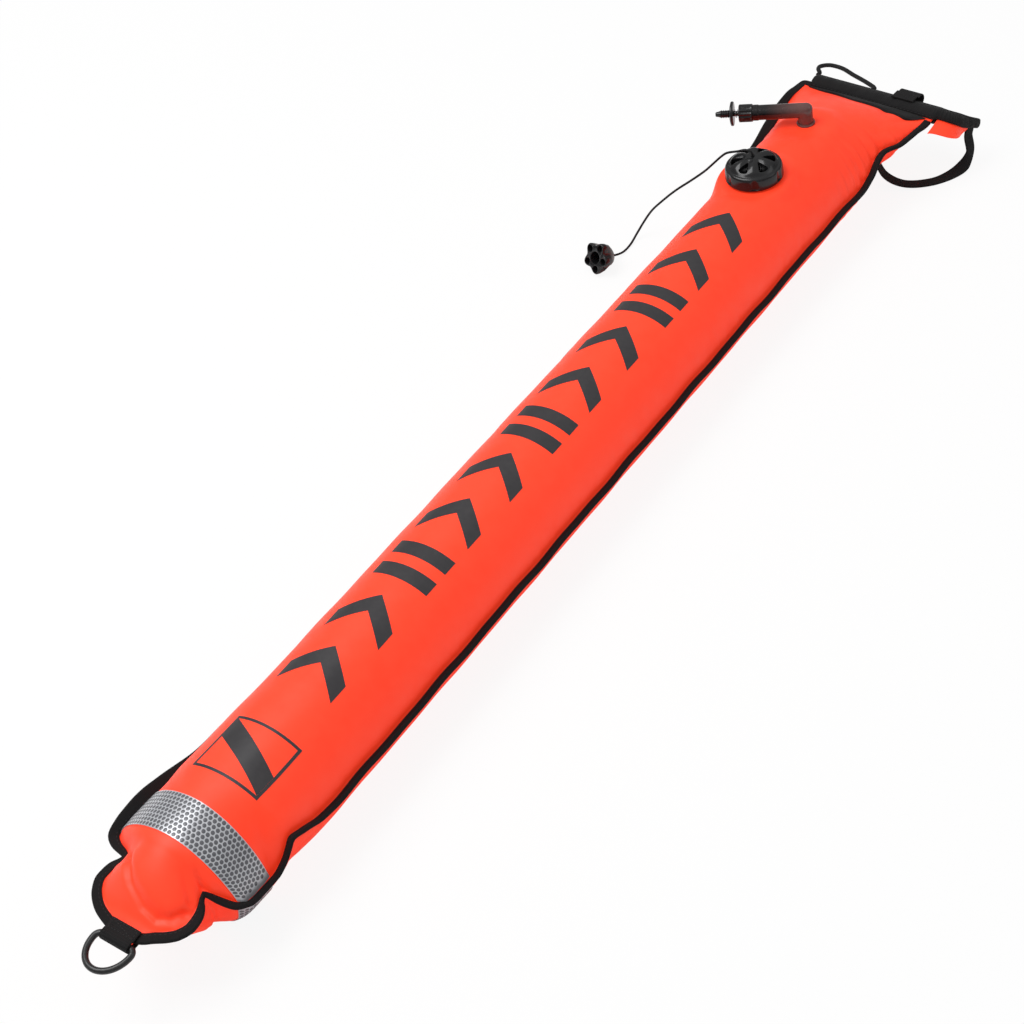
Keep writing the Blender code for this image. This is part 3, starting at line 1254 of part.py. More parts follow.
def build():
    clear_scene()
    fabric = principled("fabric_orange", (0.95, 0.10, 0.045), 0.55)
    tape = principled("tape_black", (0.012, 0.012, 0.013), 0.85)
    silver = principled("reflective_silver", (0.52, 0.53, 0.55), 0.35, 0.3)
    moulded = principled("moulded_black", (0.015, 0.015, 0.017), 0.40)
    smoke = principled("smoke_plastic", (0.09, 0.06, 0.055), 0.25)
    rubber = principled("soft_rubber", (0.03, 0.03, 0.03), 0.70)
    steel = principled("spring_steel", (0.60, 0.60, 0.60), 0.30, 1.0)
    cord = principled("cord_black", (0.012, 0.012, 0.013), 0.80)
    ring = principled("ring_black", (0.015, 0.015, 0.016), 0.45)

    top = panel("upper_panel", True, fabric)
    drill(top, VALVE_X, VALVE_NECK_RADIUS + CLEARANCE, VALVE_SEAT_Z)
    drill(top, INFLATOR_X, INFLATOR_COLLAR_RADIUS + CLEARANCE, INFLATOR_SEAT_Z)
    panel("lower_panel", False, fabric)
    edge_binding(tape)
    head_hem(tape)
    corner_ear(fabric)
    band_half("reflective_band_upper", True, silver)
    band_half("reflective_band_lower", False, silver)
    d_ring_tab(tape)
    d_ring(ring)
    head_tab_loop(tape)
    bungee_loop(cord)
    strap_loop(tape)
    valve_base(moulded)
    valve_gasket(rubber)
    valve_cap(moulded)
    valve_seal(rubber)
    valve_poppet(moulded)
    valve_spring(steel)
    inflator_base(smoke)
    inflator_tube(smoke)
    inflator_lock_ring(moulded)
    inflator_stem(moulded)
    inflator_seal(rubber)
    inflator_spring(steel)
    pull_cord(cord)
    pull_knob(moulded)


build()
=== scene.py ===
# %% [markdown]
# A closed surface marker buoy, lying inflated on the floor. Divers send it up on a reel line.
# It is a long tube of coated nylon with taped edges, a dump valve, an oral inflator, webbing at
# both ends and a reflective band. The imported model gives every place, so it is loaded first.

# %% Load the frame
from functools import lru_cache
from math import acos, atan2, cos, exp, hypot, pi, radians, sin, sqrt

import bmesh
import bpy
from mathutils import Matrix, Vector


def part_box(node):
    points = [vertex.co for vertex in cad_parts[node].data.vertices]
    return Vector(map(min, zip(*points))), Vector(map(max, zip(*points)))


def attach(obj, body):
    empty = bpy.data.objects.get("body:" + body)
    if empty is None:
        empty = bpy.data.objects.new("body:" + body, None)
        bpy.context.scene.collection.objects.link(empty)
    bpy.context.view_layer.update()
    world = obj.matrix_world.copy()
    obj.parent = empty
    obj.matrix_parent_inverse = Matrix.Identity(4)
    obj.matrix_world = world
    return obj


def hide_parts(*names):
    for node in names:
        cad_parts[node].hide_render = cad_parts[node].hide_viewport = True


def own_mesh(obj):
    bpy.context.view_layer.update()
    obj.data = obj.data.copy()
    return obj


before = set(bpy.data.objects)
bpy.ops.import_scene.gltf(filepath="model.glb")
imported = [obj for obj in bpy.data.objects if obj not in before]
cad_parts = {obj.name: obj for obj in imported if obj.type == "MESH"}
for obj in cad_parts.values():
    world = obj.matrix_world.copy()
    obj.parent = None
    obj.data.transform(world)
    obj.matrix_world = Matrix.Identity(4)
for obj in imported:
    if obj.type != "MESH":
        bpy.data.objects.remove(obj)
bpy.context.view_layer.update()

# %% [markdown]
# The camera looks from the foot's side, high up, with a long lens. Its three directions are made
# square to each other.

# %% Camera
EYE = Vector((-0.8754, -0.7599, 1.0869))
LOOK = Vector((0.527, 0.5, -0.688)).normalized()
RIGHT_HINT = Vector((0.5666, -0.8097, -0.1543))
ROLL = 0.0040
SENSOR = 36.0
LENS_IN_PICTURE_WIDTHS = 1985 / 1024

right = (RIGHT_HINT - LOOK * RIGHT_HINT.dot(LOOK)).normalized()
up = right.cross(LOOK)
right, up = (right - up * ROLL).normalized(), (up + right * ROLL).normalized()
camera_data = bpy.data.cameras.new("camera")
camera_data.sensor_width = SENSOR
camera_data.lens = SENSOR * LENS_IN_PICTURE_WIDTHS
camera = bpy.data.objects.new("camera", camera_data)
camera.matrix_world = Matrix.Translation(EYE) @ Matrix((right, up, -LOOK)).transposed().to_4x4()
bpy.context.scene.collection.objects.link(camera)
bpy.context.scene.camera = camera
bpy.context.scene.view_settings.view_transform = "Standard"

# %% [markdown]
# The sizes are the ones that the model was built with. A form row gives the tube's section at
# one distance in from the end weld. In tube radii it has the half width at the left weld and at
# the right, the top, the bottom, and the rise of the two welds over the axis. Then comes how flat
# the section leaves the weld, and how far the underside bellies out. The tube lies rolled a
# little, with its left weld high, which is why left and right have their own columns.

# %% Sizes of the envelope
FLAT_WIDTH = 0.150
ENVELOPE_LENGTH = 1.037
PANEL_THICKNESS = 0.0008
WELD_GAP = 0.0003
FLOOR_FLATTENING = 0.0024
SIDE_FLANGE = 0.0066
NOTCH_FROM_FOOT = 0.0410
NOTCH_REACH = 0.0090
NOTCH_FLANGE_SHARE = 0.45
HEAD_FLANGE = 0.0190
TUBE_RADIUS = FLAT_WIDTH / pi
AXIS_HEIGHT = TUBE_RADIUS - FLOOR_FLATTENING
CLEARANCE = 0.0003
BINDING_WALL = 0.0009
HEM_WALL = 0.0014
HEM_LEFT = 0.0600
HEM_PUFF = 0.0034
SIDE_BINDING_END = 0.0030
FOOT_FORM = (
    (0.0000, 0.16, 0.16, 0.19, -0.15, 0.17, 0.17, 2.0, 0.00),
    (0.0020, 0.32, 0.27, 0.21, -0.12, 0.17, 0.17, 2.0, 0.02),
    (0.0060, 0.54, 0.39, 0.26, -0.04, 0.17, 0.17, 2.0, 0.04),
    (0.0105, 0.68, 0.54, 0.35, 0.09, 0.17, 0.17, 1.9, 0.07),
    (0.0150, 0.77, 0.64, 0.46, 0.19, 0.17, 0.17, 1.8, 0.10),
    (0.0220, 0.84, 0.70, 0.62, 0.36, 0.17, 0.18, 1.8, 0.14),
    (0.0290, 0.83, 0.69, 0.73, 0.49, 0.18, 0.19, 1.7, 0.19),
    (0.0350, 0.78, 0.66, 0.80, 0.60, 0.20, 0.22, 1.6, 0.24),
    (0.0400, 0.76, 0.62, 0.85, 0.70, 0.22, 0.26, 1.6, 0.24),
    (0.0440, 0.83, 0.63, 0.88, 0.76, 0.21, 0.28, 1.6, 0.17),
    (0.0480, 1.04, 0.80, 0.91, 0.81, 0.19, 0.17, 1.6, 0.09),
    (0.0530, 1.16, 0.98, 0.93, 0.85, 0.16, 0.02, 1.5, 0.06),
    (0.0600, 1.17, 1.01, 0.95, 0.87, 0.15, -0.13, 1.45, 0.05),
    (0.0720, 1.145, 0.99, 0.97, 0.90, 0.15, -0.20, 1.35, 0.03),
    (0.0860, 1.11, 0.98, 0.985, 0.93, 0.145, -0.23, 1.25, 0.02),
    (0.0960, 1.09, 0.99, 0.99, 0.95, 0.14, -0.13, 1.2, 0.02),
    (0.1025, 1.085, 1.00, 0.995, 0.96, 0.14, 0.02, 1.16, 0.02),
    (0.1080, 1.08, 1.00, 1.00, 0.965, 0.14, 0.13, 1.13, 0.02),
    (0.1180, 1.07, 1.01, 1.00, 0.975, 0.14, 0.07, 1.10, 0.02),
    (0.1360, 1.05, 1.00, 1.00, 0.99, 0.135, -0.08, 1.05, 0.01),
    (0.1640, 1.02, 0.995, 1.00, 1.00, 0.13, -0.13, 1.0, 0.00),
    (0.2100, 0.995, 0.995, 1.00, 1.00, 0.13, -0.13, 1.0, 0.00),
)
HEAD_FORM = (
    (0.000, 1.36, 1.28, 0.23, -0.19, 0.21, 0.21, 1.5, 0.00),
    (0.005, 1.365, 1.28, 0.30, -0.09, 0.22, 0.21, 1.45, 0.00),
    (0.012, 1.36, 1.28, 0.39, 0.02, 0.23, 0.21, 1.4, 0.00),
    (0.024, 1.33, 1.26, 0.53, 0.17, 0.24, 0.21, 1.3, 0.00),
    (0.036, 1.28, 1.24, 0.64, 0.30, 0.24, 0.21, 1.27, 0.01),
    (0.048, 1.21, 1.20, 0.73, 0.43, 0.23, 0.20, 1.24, 0.03),
    (0.056, 1.17, 1.12, 0.78, 0.51, 0.22, 0.21, 1.22, 0.04),
    (0.064, 1.14, 1.05, 0.82, 0.60, 0.21, 0.20, 1.20, 0.05),
    (0.075, 1.10, 1.03, 0.87, 0.68, 0.20, 0.11, 1.17, 0.05),
    (0.087, 1.07, 1.04, 0.91, 0.76, 0.18, -0.03, 1.14, 0.04),
    (0.105, 1.05, 1.04, 0.95, 0.84, 0.16, -0.13, 1.10, 0.03),
    (0.130, 1.03, 1.01, 0.99, 0.92, 0.14, -0.14, 1.05, 0.02),
    (0.170, 1.01, 1.00, 1.00, 0.98, 0.13, -0.13, 1.0, 0.00),
    (0.230, 0.995, 0.995, 1.00, 1.00, 0.13, -0.13, 1.0, 0.00),
)
LEFT_HALF, RIGHT_HALF, TOP, BOTTOM, LEFT_RISE, RIGHT_RISE, FULLNESS, BELLY = range(1, 9)
UNDER_FULLNESS = 0.3
HEAD_SKEW = 0.070
HEAD_SWAY = 0.0030
HEAD_SKEW_REACH = 0.075
FITTINGS_Y = 0.0075
VALVE_SEAT_HEIGHT = 0.0455
VALVE_FLAT_RADIUS = 0.0300
VALVE_FLAT_BLEND = 0.0095
INFLATOR_SEAT_HEIGHT = 0.0430
INFLATOR_FLAT_RADIUS = 0.0165
INFLATOR_FLAT_BLEND = 0.0200
FOOT_WELD_X = -ENVELOPE_LENGTH / 2 + SIDE_FLANGE + CLEARANCE + BINDING_WALL
HEAD_WELD_X = ENVELOPE_LENGTH / 2 - HEAD_FLANGE - CLEARANCE - HEM_WALL
FLANGE_TOP = WELD_GAP / 2 + PANEL_THICKNESS
BINDING_INSIDE = FLANGE_TOP + CLEARANCE
BINDING_OUTSIDE = BINDING_INSIDE + BINDING_WALL
HEM_OUTSIDE = BINDING_INSIDE + HEM_WALL
VALVE_X = HEAD_WELD_X - 0.180
VALVE_SEAT_Z = AXIS_HEIGHT + VALVE_SEAT_HEIGHT
INFLATOR_X = HEAD_WELD_X - 0.090
INFLATOR_SEAT_Z = AXIS_HEIGHT + INFLATOR_SEAT_HEIGHT
FOOT_RISE = FOOT_FORM[0][LEFT_RISE] * TUBE_RADIUS
HEAD_RISE = HEAD_FORM[0][LEFT_RISE] * TUBE_RADIUS

# %% [markdown]
# Small tools come next: a smooth curve through points, a mesh from points and faces with its own
# cloth map, and a profile carried along a path. The map is in metres, so that a weave drawn on
# it has the same size on every piece.

# %% Curves and meshes
def smooth_curve(points, spacing):
    """Points about one spacing apart on a centripetal curve through the given points."""
    knots = [Vector(p) for p in points]
    knots = [knots[0] * 2 - knots[1]] + knots + [knots[-1] * 2 - knots[-2]]
    result = []
    for a, b, c, d in zip(knots, knots[1:], knots[2:], knots[3:]):
        t1 = sqrt((b - a).length)
        t2 = t1 + sqrt((c - b).length)
        t3 = t2 + sqrt((d - c).length)
        pieces = max(1, round((c - b).length / spacing))
        for i in range(pieces):
            t = t1 + (t2 - t1) * i / pieces
            ab = a + (b - a) * (t / t1)
            bc = b + (c - b) * ((t - t1) / (t2 - t1))
            cd = c + (d - c) * ((t - t2) / (t3 - t2))
            abc = ab + (bc - ab) * (t / t2)
            bcd = bc + (cd - bc) * ((t - t1) / (t3 - t1))
            result.append(abc + (bcd - abc) * ((t - t1) / (t2 - t1)))
    result.append(knots[-2])
    return result


def running_lengths(points):
    """The length of a path from its start to each of its points."""
    total = [0.0]
    for a, b in zip(points, points[1:]):
        total.append(total[-1] + (b - a).length)
    return total


def direction_at(path, i):
    """The way a path runs at one of its points."""
    return (path[min(i + 1, len(path) - 1)] - path[max(i - 1, 0)]).normalized()


def square_to(way, along):
    """The part of a direction that is square to a run."""
    return (way - along * way.dot(along)).normalized()


def circle(radius, steps):
    """Even points round the origin of a plane."""
    return [(radius * cos(2 * pi * k / steps), radius * sin(2 * pi * k / steps))
            for k in range(steps)]


def placed(name, data):
    """A new object at the origin, in the scene's collection."""
    piece = bpy.data.objects.new(name, data)
    bpy.context.scene.collection.objects.link(piece)
    return piece


def settled_mesh(piece):
    """The plain mesh that an object's modifiers make."""
    seen = piece.evaluated_get(bpy.context.evaluated_depsgraph_get())
    return bpy.data.meshes.new_from_object(seen)


def add_piece(name, mesh, finish, slot, body, *nodes):
    """Put a finished mesh in the scene, on its body, standing for the nodes it replaces."""
    mesh.name = name
    mesh.materials.clear()
    mesh.materials.append(finish)
    piece = placed(name, mesh)
    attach(piece, body)
    if nodes:
        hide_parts(*nodes)
    print(name, len(mesh.polygons), "faces")
    return piece


def faced_outwards(mesh, merge=False):
    """Turn all faces outwards, after points that share a place are merged."""
    shape = bmesh.new()
    shape.from_mesh(mesh)
    if merge:
        bmesh.ops.remove_doubles(shape, verts=shape.verts, dist=1e-6)
    bmesh.ops.recalc_face_normals(shape, faces=shape.faces)
    shape.to_mesh(mesh)
    shape.free()


def plain_mesh(verts, faces, cloth=None):
    """A mesh from points; cloth gives each vertex its place on the flat cloth, in metres."""
    mesh = bpy.data.meshes.new("piece")
    mesh.from_pydata([tuple(v) for v in verts], [], faces)
    if cloth:
        layer = mesh.uv_layers.new(name="cloth")
        flat = [value for loop in mesh.loops for value in cloth[loop.vertex_index]]
        layer.data.foreach_set("uv", flat)
    return mesh


def mesh_of(verts, faces, cloth=None):
    """The same for a closed form: its faces look out, and its sharp edges stay sharp."""
    mesh = plain_mesh(verts, faces, cloth)
    faced_outwards(mesh)
    mesh.shade_smooth()
    mesh.set_sharp_from_angle(angle=radians(40))
    return mesh


def tube_faces(rings, sides, first=0, closed=False):
    """Faces between rings of points that follow each other, and back again if closed."""
    faces = []
    for i in range(rings if closed else rings - 1):
        a, b = first + i * sides, first + (i + 1) % rings * sides
        faces += [(a + k, a + (k + 1) % sides, b + (k + 1) % sides, b + k)
                  for k in range(sides)]
    return faces


def shell_faces(rows, columns):
    """Faces of a thin closed shell: an upper grid of points, its twin below, and the rim."""
    lower = rows * columns
    faces = []
    for i in range(rows - 1):
        for j in range(columns - 1):
            a, b = i * columns + j, (i + 1) * columns + j
            faces.append((a, b, b + 1, a + 1))
            faces.append((lower + a, lower + a + 1, lower + b + 1, lower + b))
    rim = [(i, 0) for i in range(rows)] + [(rows - 1, j) for j in range(1, columns)]
    rim += [(i, columns - 1) for i in range(rows - 2, -1, -1)]
    rim += [(0, j) for j in range(columns - 2, 0, -1)]
    for (i, j), (m, n) in zip(rim, rim[1:] + rim[:1]):
        a, b = i * columns + j, m * columns + n
        faces.append((a, b, lower + b, lower + a))
    return faces


def carried(path, sides, ups, profile, scales=None, bend=None, wave=None):
    """A closed profile of (side, up) points carried along a path, with flat ends."""
    count = len(profile)
    around = running_lengths([Vector((a, b, 0.0)) for a, b in profile])
    along = running_lengths(path)
    verts, cloth = [], []
    for i, point in enumerate(path):
        grow = scales[i] if scales else 1.0
        for j, (side, rise) in enumerate(profile):
            lift = wave(i, j) if wave else 0.0
            place = point + sides[i] * side * grow + ups[i] * (rise + lift)
            verts.append(bend(place) if bend else place)
            cloth.append((along[i], around[j]))
    faces = tube_faces(len(path), count)
    faces.append(tuple(range(count)))
    faces.append(tuple((len(path) - 1) * count + j for j in range(count)))
    return mesh_of(verts, faces, cloth)


def turned(profile, steps, turn=None, closed=True):
    """A profile of (radius, height) points spun once round Z, then turned and moved."""
    verts, faces = [], []
    count = len(profile)
    for k in range(steps):
        a = 2 * pi * k / steps
        for radius, height in profile:
            verts.append(Vector((radius * cos(a), radius * sin(a), height)))
    last = count if closed else count - 1
    for k in range(steps):
        m = (k + 1) % steps
        for j in range(last):
            n = (j + 1) % count
            faces.append((k * count + j, m * count + j, m * count + n, k * count + n))
    mesh = mesh_of(verts, faces)
    faced_outwards(mesh, merge=True)
    if turn:
        mesh.transform(turn)
    return mesh

# %% [markdown]
# Each finish is a Principled shader. The weave and the scuffs are shader groups that several
# finishes share. A group only gives out masks and heights.

# %% Shader groups
def group_of(name, inputs, outputs):
    """A new shader group with float inputs and outputs, and its two end nodes."""
    tree = bpy.data.node_groups.new(name, "ShaderNodeTree")
    for socket, kind in inputs:
        tree.interface.new_socket(name=socket, in_out="INPUT", socket_type=kind)
    for socket, kind in outputs:
        tree.interface.new_socket(name=socket, in_out="OUTPUT", socket_type=kind)
    return tree, tree.nodes.new("NodeGroupInput"), tree.nodes.new("NodeGroupOutput")


def wired(tree, kind, inputs, **settings):
    """A new node with its settings; each input gets a plain value or another node's output."""
    node = tree.nodes.new(kind)
    for name, value in settings.items():
        setattr(node, name, value)
    for name, value in inputs.items():
        if isinstance(value, bpy.types.NodeSocket):
            tree.links.new(value, node.inputs[name])
        else:
            node.inputs[name].default_value = value
    return node


def math_node(tree, operation, first, second=0.0):
    """One sum in a node tree, and what it gives."""
    return wired(tree, "ShaderNodeMath", {0: first, 1: second}, operation=operation).outputs[0]


def build_weave():
    """Plain weave on the cloth map: threads over and under, for nylon, tape and webbing."""
    tree, given, made = group_of(
        "plain_weave", [("Cloth", "NodeSocketVector"), ("Threads per metre", "NodeSocketFloat"),
                        ("Rib stretch", "NodeSocketFloat")], [("Height", "NodeSocketFloat")])
    split = wired(tree, "ShaderNodeSeparateXYZ", {0: given.outputs["Cloth"]})
    turns = math_node(tree, "MULTIPLY", given.outputs["Threads per metre"], pi)
    across_turns = math_node(tree, "MULTIPLY", turns, given.outputs["Rib stretch"])
    first = math_node(tree, "SINE", math_node(tree, "MULTIPLY", split.outputs["X"], turns))
    second = math_node(tree, "SINE", math_node(tree, "MULTIPLY", split.outputs["Y"], across_turns))
    product = math_node(tree, "MULTIPLY", first, second)
    tree.links.new(math_node(tree, "ABSOLUTE", product), made.inputs["Height"])
    return tree


def build_scuffs():
    """Uneven handling marks: a broad soft noise broken by a fine one."""
    tree, given, made = group_of(
        "handling_scuffs", [("Place", "NodeSocketVector"), ("Scale", "NodeSocketFloat")],
        [("Mask", "NodeSocketFloat")])
    broad, fine = [
        wired(tree, "ShaderNodeTexNoise", {
            "Detail": detail, "Vector": given.outputs["Place"],
            "Scale": math_node(tree, "MULTIPLY", given.outputs["Scale"], times)}).outputs["Fac"]
        for times, detail in ((1.0, 3.0), (9.0, 2.0))]
    product = math_node(tree, "MULTIPLY", broad, fine)
    tree.links.new(math_node(tree, "MULTIPLY", product, 2.0), made.inputs["Mask"])
    return tree


weave_group = build_weave()
scuff_group = build_scuffs()

# %% A finish from a few values
def finish_of(name, colour, worn, roughness, scuff_scale, weave=None, bump=0.0002, metallic=0.0,
              constants=None):
    """Principled finish: colour varies to its worn tone, roughness and bump follow the pattern.

    weave is (threads per metre, rib stretch, painted shade between threads) on the cloth
    map, or None for a moulded surface.
    """
    material = bpy.data.materials.new(name)
    material.use_nodes = True
    tree = material.node_tree
    shader = tree.nodes["Principled BSDF"]
    place = tree.nodes.new("ShaderNodeTexCoord").outputs["Object"]
    mask = wired(tree, "ShaderNodeGroup", {"Scale": scuff_scale, "Place": place},
                 node_tree=scuff_group).outputs["Mask"]
    base = wired(tree, "ShaderNodeMix", {"A": (*colour, 1.0), "B": (*worn, 1.0), "Factor": mask},
                 data_type="RGBA").outputs["Result"]
    rough = wired(tree, "ShaderNodeMapRange",
                  {"To Min": roughness[0], "To Max": roughness[1], "Value": mask})
    raised = mask
    if weave:
        per_metre, stretch, deepest = weave
        cloth = wired(tree, "ShaderNodeUVMap", {}, uv_map="cloth").outputs["UV"]
        threads = wired(tree, "ShaderNodeGroup", {
            "Threads per metre": per_metre, "Rib stretch": stretch, "Cloth": cloth},
            node_tree=weave_group).outputs["Height"]
        # The colour is darkened where the weave is low: painted shade between the threads.
        shade = wired(tree, "ShaderNodeMapRange",
                      {"To Min": deepest, "To Max": 1.0, "Value": threads})
        base = wired(tree, "ShaderNodeMix",
                     {"Factor": 1.0, "A": base, "B": shade.outputs["Result"]},
                     data_type="RGBA", blend_type="MULTIPLY").outputs["Result"]
        raised = math_node(tree, "ADD", threads, math_node(tree, "MULTIPLY", mask, 0.5))
    relief = wired(tree, "ShaderNodeBump", {"Distance": bump, "Strength": 0.8, "Height": raised})
    tree.links.new(base, shader.inputs["Base Color"])
    tree.links.new(rough.outputs["Result"], shader.inputs["Roughness"])
    tree.links.new(relief.outputs["Normal"], shader.inputs["Normal"])
    shader.inputs["Metallic"].default_value = metallic
    for socket, value in (constants or {}).items():
        shader.inputs[socket].default_value = value
    material.diffuse_color = (*colour, 1.0)
    return material


ORANGE = (1.0, 0.066, 0.024)
# The emission is painted light: a faint red glow, the same in light and in shade, that keeps the
# cloth's shaded side bright red.
coated_nylon = finish_of(
    "coated_nylon", ORANGE, (1.0, 0.050, 0.014), (0.42, 0.56), 9.0, (1500.0, 1.0, 0.94), 0.00003,
    constants={"Specular IOR Level": 0.35, "Sheen Weight": 0.05, "Sheen Roughness": 0.45,
               "Emission Strength": 0.33, "Emission Color": (1.0, 0.030, 0.004, 1.0)})
BLACK_CLOTH = (0.0050, 0.0046, 0.0050)
black_tape = finish_of("black_tape", BLACK_CLOTH, (0.011, 0.010, 0.011), (0.72, 0.92), 40.0,
                       (900.0, 2.4, 0.45), 0.00012, constants={"Specular IOR Level": 0.25})
black_webbing = finish_of("black_webbing", BLACK_CLOTH, (0.012, 0.011, 0.012), (0.74, 0.95), 35.0,
                          (560.0, 1.8, 0.40), 0.00022,
                          constants={"Specular IOR Level": 0.28, "Sheen Weight": 0.04})
black_plastic = finish_of("black_plastic", (0.0050, 0.0050, 0.0056), (0.010, 0.010, 0.011),
                          (0.14, 0.30), 60.0, None, 0.00004,
                          constants={"Specular IOR Level": 0.42})
black_metal = finish_of("black_metal", (0.007, 0.007, 0.0075), (0.022, 0.022, 0.023),
                        (0.24, 0.44), 70.0, None, 0.00006,
                        constants={"Specular IOR Level": 0.40, "Coat Weight": 0.10})
black_rubber = finish_of("black_rubber", (0.012, 0.012, 0.012), (0.022, 0.022, 0.022),
                         (0.60, 0.80), 90.0, None, 0.00005)
spring_steel = finish_of("spring_steel", (0.60, 0.60, 0.60), (0.42, 0.42, 0.43), (0.20, 0.38),
                         120.0, None, 0.00002, metallic=1.0)
# The reddish base colour is painted light: the cloth's red seen through the smoky plastic.
smoked_plastic = finish_of(
    "smoked_plastic", (0.155, 0.072, 0.066), (0.21, 0.110, 0.100), (0.10, 0.20), 50.0, None,
    0.00003, constants={"Transmission Weight": 0.35, "IOR": 1.45})
print_ink = finish_of("print_ink", (0.027, 0.025, 0.028), (0.038, 0.035, 0.037), (0.30, 0.46),
                      25.0, None, 0.00003, constants={"Specular IOR Level": 0.40})
sewing_thread = finish_of("sewing_thread", (0.010, 0.009, 0.010), (0.022, 0.020, 0.021),
                          (0.55, 0.80), 300.0, None, 0.00004,
                          constants={"Specular IOR Level": 0.35})
reflective_film = finish_of("reflective_film", (0.58, 0.59, 0.62), (0.42, 0.43, 0.46),
                            (0.24, 0.40), 110.0, None, 0.00006, metallic=0.30,
                            constants={"Coat Weight": 0.2})
band_cell_film = finish_of("band_cell_film", (0.075, 0.078, 0.088), (0.13, 0.13, 0.145),
                           (0.28, 0.46), 160.0, None, 0.00004, metallic=0.2,
                           constants={"Coat Weight": 0.3})
cord_cover = finish_of("cord_cover", (0.005, 0.005, 0.0055), (0.014, 0.014, 0.015), (0.65, 0.85),
                       200.0, None, 0.0002, constants={"Specular IOR Level": 0.28})

# %% [markdown]
# The envelope is two panels, welded edge to edge. Air makes the section round, and the weld line
# stays nearly flat at the two ends, which gathers the cloth there. A rule gives each section,
# so the shape is worked out point by point, and the gathers and creases are added on top.

# %% The rule of the tube's section
@lru_cache(maxsize=None)
def between(at_foot, column, position):
    """A monotone curve through one column of an end form."""
    table = FOOT_FORM if at_foot else HEAD_FORM
    if position <= table[0][0]:
        return table[0][column]
    if position >= table[-1][0]:
        return table[-1][column]
    i = max(k for k in range(len(table) - 1) if table[k][0] <= position)

    def slope(k):
        return (table[k + 1][column] - table[k][column]) / (table[k + 1][0] - table[k][0])

    def tangent(k):
        if k == 0 or k == len(table) - 1:
            return slope(0) if k == 0 else 0.0
        before, after = slope(k - 1), slope(k)
        return 0.0 if before * after <= 0 else 2 * before * after / (before + after)

    width = table[i + 1][0] - table[i][0]
    t = (position - table[i][0]) / width
    start, end = table[i][column], table[i + 1][column]
    return ((2 * t**3 - 3 * t**2 + 1) * start + (t**3 - 2 * t**2 + t) * width * tangent(i)
            + (3 * t**2 - 2 * t**3) * end + (t**3 - t**2) * width * tangent(i + 1))


def form(column, x):
    """One column of the forms at x, in metres, or bare for the fullness."""
    from_foot = x - FOOT_WELD_X
    from_head = HEAD_WELD_X - x
    share = between(from_foot < from_head, column, min(from_foot, from_head))
    return share if column == FULLNESS else share * TUBE_RADIUS


def soft_step(value):
    """A smooth climb from 0 to 1."""
    t = min(max(value, 0.0), 1.0)
    return t * t * (3 - 2 * t)


def skewed(point):
    """The same point once the head is drawn in on its right side."""
    share = soft_step((point.x - HEAD_WELD_X) / HEAD_SKEW_REACH + 1)
    return point + Vector((HEAD_SKEW * point.y, -HEAD_SWAY, 0.0)) * share


def half_width(x, turn):
    """From the middle to the weld, on the turned point's own side."""
    return form(LEFT_HALF if cos(turn) > 0 else RIGHT_HALF, x)


def weld_rise(x, turn):
    """Rise over the axis of the line from weld to weld, under the turned point."""
    left_share = (1 + cos(turn)) / 2
    return form(LEFT_RISE, x) * left_share + form(RIGHT_RISE, x) * (1 - left_share)


def lifted(x, y, height):
    """Height of the top panel over the axis, drawn flat under the two fittings."""
    for at_x, seat, flat, blend in (
            (VALVE_X, VALVE_SEAT_HEIGHT, VALVE_FLAT_RADIUS, VALVE_FLAT_BLEND),
            (INFLATOR_X, INFLATOR_SEAT_HEIGHT, INFLATOR_FLAT_RADIUS, INFLATOR_FLAT_BLEND)):
        away = hypot(x - at_x, y - FITTINGS_Y) - flat
        height += (seat - height) * (1 - soft_step(away / blend))
    return height

# %% Gathers, creases and the wave of the side welds
WELD_WAVE = 0.0009              # the taped edges aren't quite straight
PUCKER_DEPTH = 0.00045          # small gathers next to the side welds
PUCKER_REACH = 0.30             # how far up the section they run, in radians
HEAD_GATHER = 0.0011            # deeper gathers near the head
# The line in plan where the tube's round end meets the flat tongue
DOME_FOOT = ((-0.4740, 0.0270), (-0.4890, 0.0110), (-0.4961, -0.0047), (-0.4978, -0.0173),
             (-0.4935, -0.0269), (-0.4859, -0.0316))
DOME_DEPTH = 0.0040
DOME_HALF_WIDTH = 0.0028
DOME_HEAD_SIDE = -0.46          # the line lies on the foot's side of this x
# Each crease: plan start and end, depth, half width, and whether it is on the top panel
CREASES = (
    ((-0.4672, -0.0318), (-0.4600, -0.0240), 0.0042, 0.0018, True),
    ((-0.4790, -0.0300), (-0.4690, -0.0200), 0.0022, 0.0022, True),
    ((-0.4230, -0.0490), (-0.4100, -0.0330), 0.0026, 0.0045, True),
    ((-0.4790, 0.0310), (-0.4650, 0.0180), 0.0018, 0.0028, True),
    ((0.4850, 0.0480), (0.4600, 0.0330), 0.0014, 0.0040, True),
    ((0.4820, -0.0300), (0.4380, -0.0460), 0.0016, 0.0045, True),
    ((0.4900, -0.0520), (0.4520, -0.0420), 0.0012, 0.0030, True),
    ((-0.4740, -0.0300), (-0.4660, -0.0520), 0.0050, 0.0045, False),
    ((-0.4560, -0.0450), (-0.4440, -0.0560), 0.0022, 0.0050, False),
)


def weld_wave(x, turn):
    """A slight wave of the side welds, away from both ends."""
    away = min(x - FOOT_WELD_X, HEAD_WELD_X - x)
    share = soft_step((away - 0.07) / 0.06) * cos(turn) ** 4
    phase = 1.3 if cos(turn) > 0 else 0.0
    return WELD_WAVE * share * (0.6 * sin(2 * pi * x / 0.087 + phase)
                                + 0.4 * sin(2 * pi * x / 0.049 + 2 * phase))


def near_line(point, start, end):
    """Distance from a stretch of line, and the share of it that lies before the nearest place."""
    run = Vector(end) - Vector(start)
    share = min(max((point - Vector(start)).dot(run) / run.length_squared, 0.0), 1.0)
    return (point - Vector(start) - run * share).length, share


